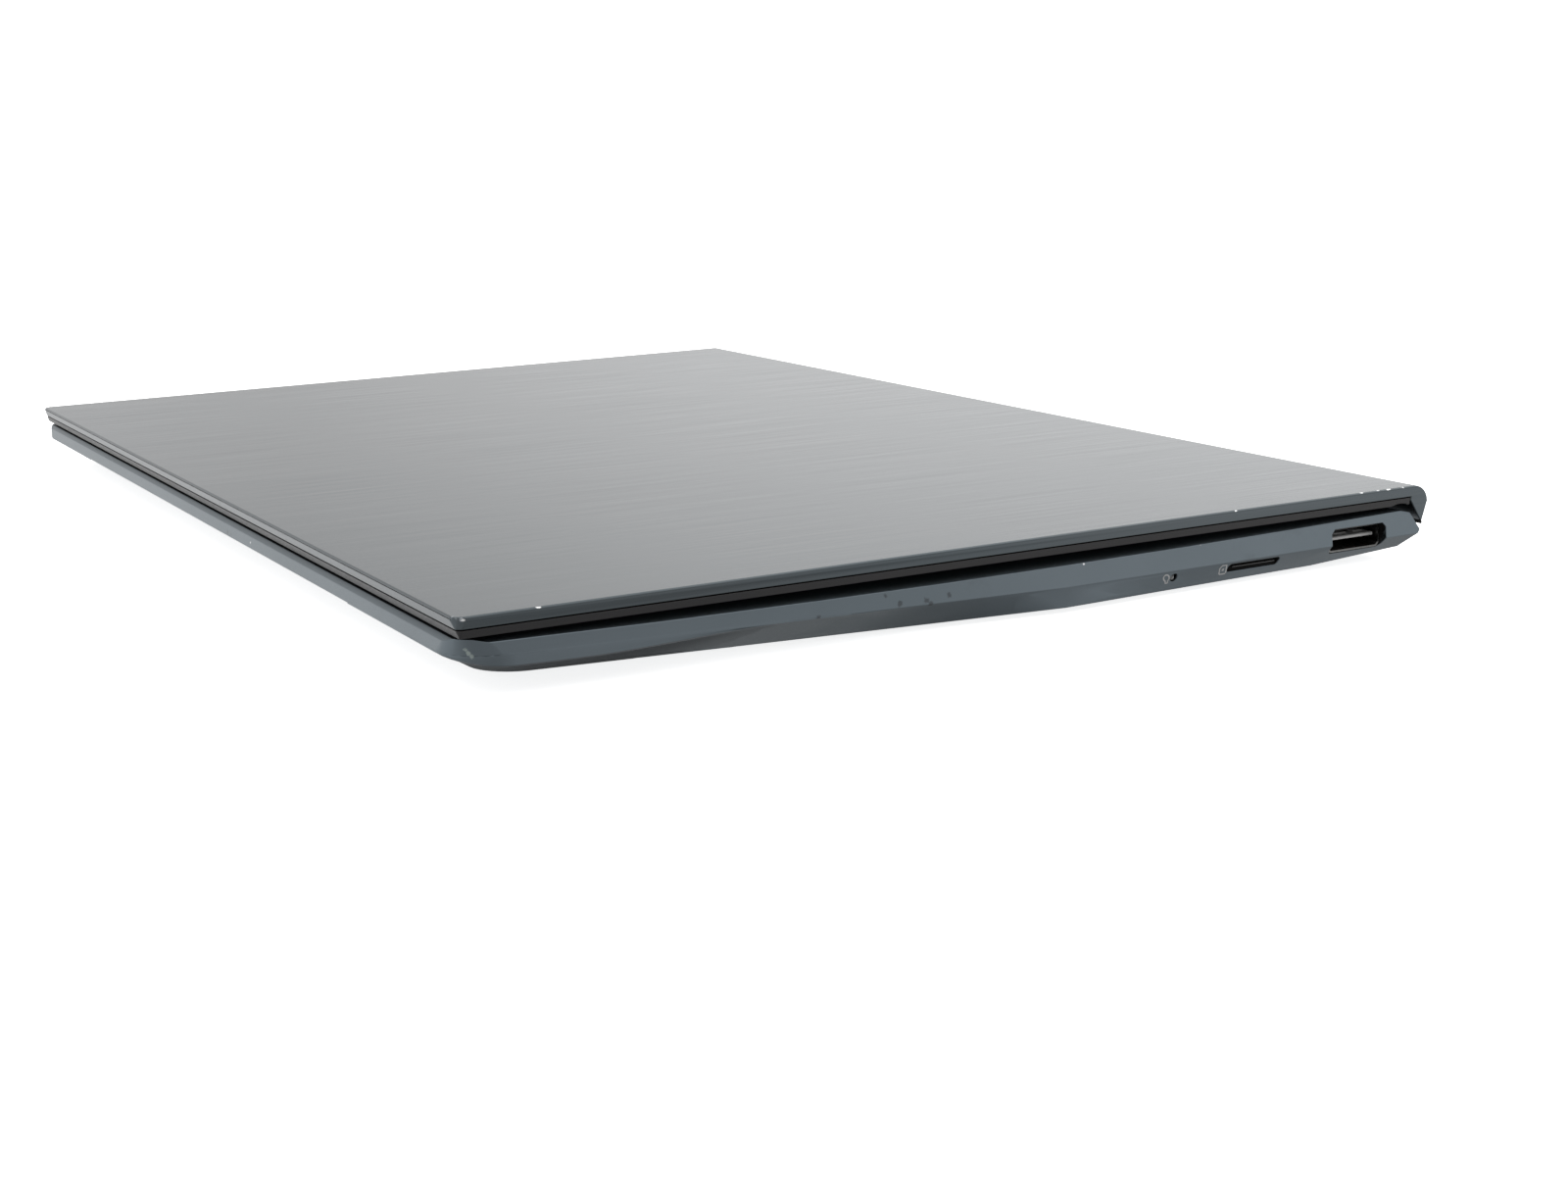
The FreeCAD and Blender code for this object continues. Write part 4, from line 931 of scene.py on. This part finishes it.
def key_legends():
    """Generic lettering on the keys, one piece for each node of keys."""
    forms = {}
    low, high = box("function_keys")
    top = high.z
    for row in KEY_ROWS:
        x = low.x - KEY_GAP / 2.0
        for width, node, text, size in row:
            if text:
                form = forms.setdefault(node, bmesh.new())
                lettering(form, text, size, x + width * KEY_PITCH / 2.0, centre(node).y, top)
            x += width * KEY_PITCH
    for node, turn in ARROW_KEYS.items():
        middle = centre(node)
        forms[node] = bmesh.new()
        corners = [math.radians(turn + angle) for angle in (0.0, 130.0, 230.0)]
        outline = [
            (middle.x + ARROW_REACH * math.cos(a), middle.y + ARROW_REACH * math.sin(a)) for a in corners]
        plate(forms[node], outline, top, top + LEGEND_RISE)
    forms["power_key"] = bmesh.new()
    middle = centre("power_key")
    power_legend(forms["power_key"], middle.x, middle.y, top)
    for node, form in forms.items():
        name = node.replace("_keys", "").replace("_key", "") + "_legend"
        piece(name, form, "connector_plastic", node, legend_finish)


# Underside

SCREW_HEAD_RADIUS = 2.3
SCREW_SHANK_RADIUS = 0.8
SCREW_INNER_PLACE = 76.5
FOOT_LENGTH = 34.0
COVER_THICKNESS = 1.0
SCREEN_CLEARANCE = 0.02
SCREEN_THICKNESS = 0.18
VENT_PLACE = (0.0, 55.5)


def bottom_screws():
    """Chamfered screw heads with a six-lobed recess, on their shanks."""
    sides = 48
    seat_height = 0.5
    low, high = box("bottom_screws")
    face, seat, top = low.z, low.z + seat_height, high.z
    side = high.x - SCREW_HEAD_RADIUS
    near, far = low.y + SCREW_HEAD_RADIUS, high.y - SCREW_HEAD_RADIUS
    places = [(x, near) for x in (side, SCREW_INNER_PLACE, -SCREW_INNER_PLACE, -side)]
    places += [(x, far) for x in (side, -side, 0.0)]
    turns = [2.0 * math.pi * i / sides for i in range(sides)]
    round_edge = [1.0] * sides
    lobed = [1.02 + 0.17 * math.cos(6.0 * a) for a in turns]
    steps = [
        (SCREW_SHANK_RADIUS, top, round_edge), (SCREW_SHANK_RADIUS, seat, round_edge),
        (SCREW_HEAD_RADIUS, seat, round_edge), (SCREW_HEAD_RADIUS, face + 0.2, round_edge),
        (SCREW_HEAD_RADIUS - 0.18, face, round_edge),
        (1.06, face, lobed), (1.0, face + 0.06, lobed), (0.96, face + 0.38, lobed),
    ]
    form = bmesh.new()
    for x, y in places:
        rings = []
        for radius, z, edge in steps:
            reaches = [(radius * share, a) for share, a in zip(edge, turns)]
            rings.append([point(x + r * math.cos(a), y + r * math.sin(a), z) for r, a in reaches])
        solid(form, rings)
    made = piece("screw_heads", form, "screw_steel", "base")
    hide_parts("bottom_screws")


def foot_pads():
    """Front rubber feet: long pads with round ends and a worn lower edge."""
    low, high = box("front_feet")
    half_width = (high.y - low.y) / 2.0
    half_run = FOOT_LENGTH / 2.0 - half_width
    y = centre("front_feet").y
    ends = [math.radians(a) for a in range(-90, 91, 15)]
    edge = ((0.0, high.z), (0.0, low.z + 0.4), (0.12, low.z + 0.14), (0.4, low.z))
    form = bmesh.new()
    for side in (1, -1):
        x = side * (high.x - FOOT_LENGTH / 2.0)
        rings = []
        for inset, z in edge:
            r = half_width - inset
            right = [point(x + half_run + r * math.cos(a), y + r * math.sin(a), z) for a in ends]
            left = [point(x - half_run - r * math.cos(a), y - r * math.sin(a), z) for a in ends]
            rings.append(right + left)
        solid(form, rings)
    made = piece("foot_pads", form, "rubber_black", "base")
    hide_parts("front_feet")


def grille(name, spots, half_x, half_y, pitch, half_wire):
    """Screen of crossed flat wires inside the cover, behind the slots round each spot."""
    low = box("bottom_cover")[0].z + COVER_THICKNESS + SCREEN_CLEARANCE
    high = low + SCREEN_THICKNESS
    middle = (low + high) / 2.0
    form = bmesh.new()
    for x, y in spots:
        for i in range(int(2.0 * half_x / pitch) + 1):
            left = x - half_x + i * pitch - half_wire
            right = left + 2.0 * half_wire
            outline = [(left, y - half_y), (right, y - half_y), (right, y + half_y), (left, y + half_y)]
            plate(form, outline, low, middle)
        for i in range(int(2.0 * half_y / pitch) + 1):
            near = y - half_y + i * pitch - half_wire
            far = near + 2.0 * half_wire
            outline = [(x - half_x, near), (x + half_x, near), (x + half_x, far), (x - half_x, far)]
            plate(form, outline, middle, high)
    piece(name, form, "camera_black", "base")


def grilles():
    """Screens behind the vent slots and the loudspeaker slots."""
    speakers = [(centre(node).x, centre(node).y) for node in ("speaker_left", "speaker_right")]
    grille("vent_screen", [VENT_PLACE], half_x=70.0, half_y=8.4, pitch=1.2, half_wire=0.14)
    grille("speaker_screens", speakers, half_x=8.0, half_y=11.6, pitch=0.8, half_wire=0.1)


# Front corners of the base, worked out in plan directions from a middle on the underside

CASE_HALF = box("top_case")[1].x
CASE_FRONT = box("top_case")[0].y
COVER_HALF = box("bottom_cover")[1].x
COVER_FRONT = box("bottom_cover")[0].y
UNDERSIDE = box("bottom_cover")[0].z
CORNER_X, CORNER_Y = 109.4, -64.5
CORNER_START, CORNER_END, CORNER_STEP = 40, -106, 2
CORNER_NEAR, CORNER_FAR, HALVINGS = 10.0, 90.0, 40
# Side bevel: its start in front and run to the middle, its crease's height and fall, and its width
BEVEL_START = CASE_FRONT - 1.0
BEVEL_RUN = 118.5
CREASE_FRONT = 7.9
CREASE_FALL = 2.85
BEVEL_FOOT = 0.1
BEVEL_WIDTH, BEVEL_NARROWING = 18.58, 17.70
# Rounded corner of the underside, of the cover's seam and of the crease
FLAT_FRONT, FLAT_RADIUS = CASE_FRONT + 10.6, 7.5
SEAM_RADIUS, SEAM_CLEARANCE = 9.0, 0.06
RIM_RADIUS, RIM_INSET = 9.0, 0.02
# Round the corner the crease is lower and the seam wider, and the ends are sunk into the case.
# Each pair holds the directions in degrees between which a change grows from none to all
CREASE_DROP = 1.9
DROP_FROM_SIDE = (36.0, -22.0)
DROP_FROM_FRONT = (-52.0, -31.0)
SEAM_HALF, SEAM_HALF_END = 0.17, 0.1
SEAM_WIDENING = (34.0, 10.0)
SINK_AT_SIDE = (24.0, 38.0)
SINK_AT_FRONT = (-91.0, -104.0)
# Steps across the flat and the bevel of the cover and across the case, up to the crease's turn
FLAT_STEPS, BEVEL_STEPS, CASE_STEPS = 3, 4, 6
CREASE_TURN = 0.9
FAIRING_INNER, FLAT_MARGIN = 26.3, 0.3
FAIRING_THICKNESS = 0.35
FAIRING_LEAN = 0.3
# Depth of a row hidden in the case, and how near to it a row is hidden or moved towards it
HIDE_DEPTH, HIDE_LIMIT, BLEND_LIMIT = 0.05, 0.08, 2.0


def fade(value, start, end):
    """Smooth step from 0 at the start to 1 at the end."""
    share = min(1.0, max(0.0, (value - start) / (end - start)))
    return share * share * (3.0 - 2.0 * share)


def in_corner(x, y, side, front, radius):
    """Whether a place lies inside a rounded plan corner between a side line and a front line."""
    a, b = side - x, y - front
    if a < radius and b < radius:
        return math.hypot(radius - a, radius - b) <= radius
    return a >= 0.0 and b >= 0.0


def corner_place(angle, reach):
    """Place at a distance from the corner's middle, in one direction."""
    return CORNER_X + reach * math.cos(angle), CORNER_Y + reach * math.sin(angle)


def corner_reach(angle, side_at, front, radius):
    """How far a rounded plan corner lies in one direction; its side line may change with y."""
    low, high = CORNER_NEAR, CORNER_FAR
    for _ in range(HALVINGS):
        middle = (low + high) / 2.0
        x, y = corner_place(angle, middle)
        if in_corner(x, y, side_at(y), front, radius):
            low = middle
        else:
            high = middle
    return low


def crease_height(y):
    """Height of the side bevel's upper edge."""
    return CREASE_FRONT - CREASE_FALL * (y - BEVEL_START) / BEVEL_RUN


def flat_side(y):
    """Where the side bevel meets the underside."""
    crease = crease_height(y)
    width = BEVEL_WIDTH - BEVEL_NARROWING * (y - BEVEL_START) / BEVEL_RUN
    return CASE_HALF - width * (crease - UNDERSIDE) / (crease - BEVEL_FOOT)


def steps_between(start, end, count):
    """Evenly spaced values from start to end, both included."""
    return [start + (end - start) * i / count for i in range(count + 1)]


def corner_profile(degrees):
    """Rows of (reach, height) in one direction: on the cover, then on the case."""
    angle = math.radians(degrees)
    flat = corner_reach(angle, flat_side, FLAT_FRONT, FLAT_RADIUS)
    seam = corner_reach(
        angle, lambda y: COVER_HALF + SEAM_CLEARANCE, COVER_FRONT - SEAM_CLEARANCE, SEAM_RADIUS)
    rim = corner_reach(angle, lambda y: CASE_HALF - RIM_INSET, CASE_FRONT + RIM_INSET, RIM_RADIUS)
    crease = crease_height(corner_place(angle, rim)[1])
    drop = CREASE_DROP * fade(degrees, *DROP_FROM_SIDE) * fade(degrees, *DROP_FROM_FRONT)
    low = crease - drop
    slope = (low - UNDERSIDE) / (rim - 0.08 - flat)

    def height(reach):
        return UNDERSIDE + max(0.0, reach - flat) * slope

    gap = SEAM_HALF_END + (SEAM_HALF - SEAM_HALF_END) * fade(degrees, *SEAM_WIDENING)
    inner = min(FAIRING_INNER, flat - FLAT_MARGIN)
    cover = steps_between(inner, flat, FLAT_STEPS)[:-1]
    cover += steps_between(flat, seam - gap, BEVEL_STEPS)
    case = steps_between(seam + gap, rim - CREASE_TURN, CASE_STEPS)
    soft = min(0.5, 0.5 * drop)
    crease_rows = [
        (rim - 0.34, height(rim - 0.34) + 0.05 * soft), (rim - 0.09, low + 0.35 * soft),
        (rim - 0.03, low + 0.55 * drop), (rim + 0.03, crease - 0.12), (rim, crease + 0.2),
    ]
    return [(r, height(r)) for r in cover], [(r, height(r)) for r in case] + crease_rows


def fairing_ring(degrees, profile, side):
    """Closed ring of one profile: its outer face, sunk into the case at its ends, and its back."""
    angle = math.radians(degrees)
    blend = max(fade(degrees, *SINK_AT_SIDE), fade(degrees, *SINK_AT_FRONT))
    outer, back = [], []
    for step, (reach, z) in enumerate(profile):
        x, y = corner_place(angle, reach)
        hidden = under_height(x, y, z - HIDE_DEPTH) + HIDE_DEPTH
        if hidden - z < HIDE_LIMIT:
            z = max(z, hidden)
        elif hidden - z < BLEND_LIMIT:
            z += blend * (hidden - z)
        outer.append(point(side * x, y, z))
        x, y = corner_place(angle, reach - FAIRING_LEAN * step / (len(profile) - 1.0))
        back.append(point(side * x, y, z + FAIRING_THICKNESS))
    return outer + back[::-1]


def corner_fairings():
    """Outer faces of the rounded front corners, under the crease, on the cover and on the case."""
    turns = range(CORNER_START, CORNER_END - 1, -CORNER_STEP)
    profiles = [(degrees, corner_profile(degrees)) for degrees in turns]
    for number, name in enumerate(("cover_corners", "case_corners")):
        form = bmesh.new()
        for side in (1, -1):
            solid(form, [fairing_ring(degrees, pair[number], side) for degrees, pair in profiles])
        piece(name, form, "case_metal", "base")


# Camera in the bezel

MICROPHONE_PLACE = 38.0


def camera_front():
    """Ring and lens over the camera module, and two microphone grommets beside it."""
    sides = 32
    face = box("screen_bezel")[0].z
    y = centre("webcam_module").y
    ring = ((1.42, 0.30), (1.42, 0.08), (1.3, 0.03), (1.0, 0.06), (0.8, 0.14))
    lens = ((0.86, 0.20), (0.82, 0.12), (0.6, 0.08), (0.3, 0.06), (0.1, 0.055))
    grommet = ((0.75, 0.03), (0.75, -0.015), (0.62, -0.03), (0.4, -0.02), (0.36, 0.02))

    def round_piece(name, profile, places, slot, finish=None):
        form = bmesh.new()
        for x in places:
            turned(form, x, y, [(radius, face + rise) for radius, rise in profile], sides)
        piece(name, form, slot, "lid", finish)

    round_piece("camera_ring", ring, (0.0,), "bezel_plastic")
    round_piece("camera_lens", lens, (0.0,), "screen_glass")
    places = (-MICROPHONE_PLACE, MICROPHONE_PLACE)
    # Microphone openings in the near-black hole finish: painted shade of the holes
    round_piece("microphone_grommets", grommet, places, "camera_black", hole_shade_finish)


shaded_port_liners()
usb_tongue()
usb_contacts()
lamp_lens()
key_legends()
bottom_screws()
foot_pads()
corner_fairings()
grilles()
camera_front()
side_prints()
card_spring()
lip_seals()
studio_floor()
studio_light()
photo_camera()
bpy.context.scene.view_settings.view_transform = "Standard"
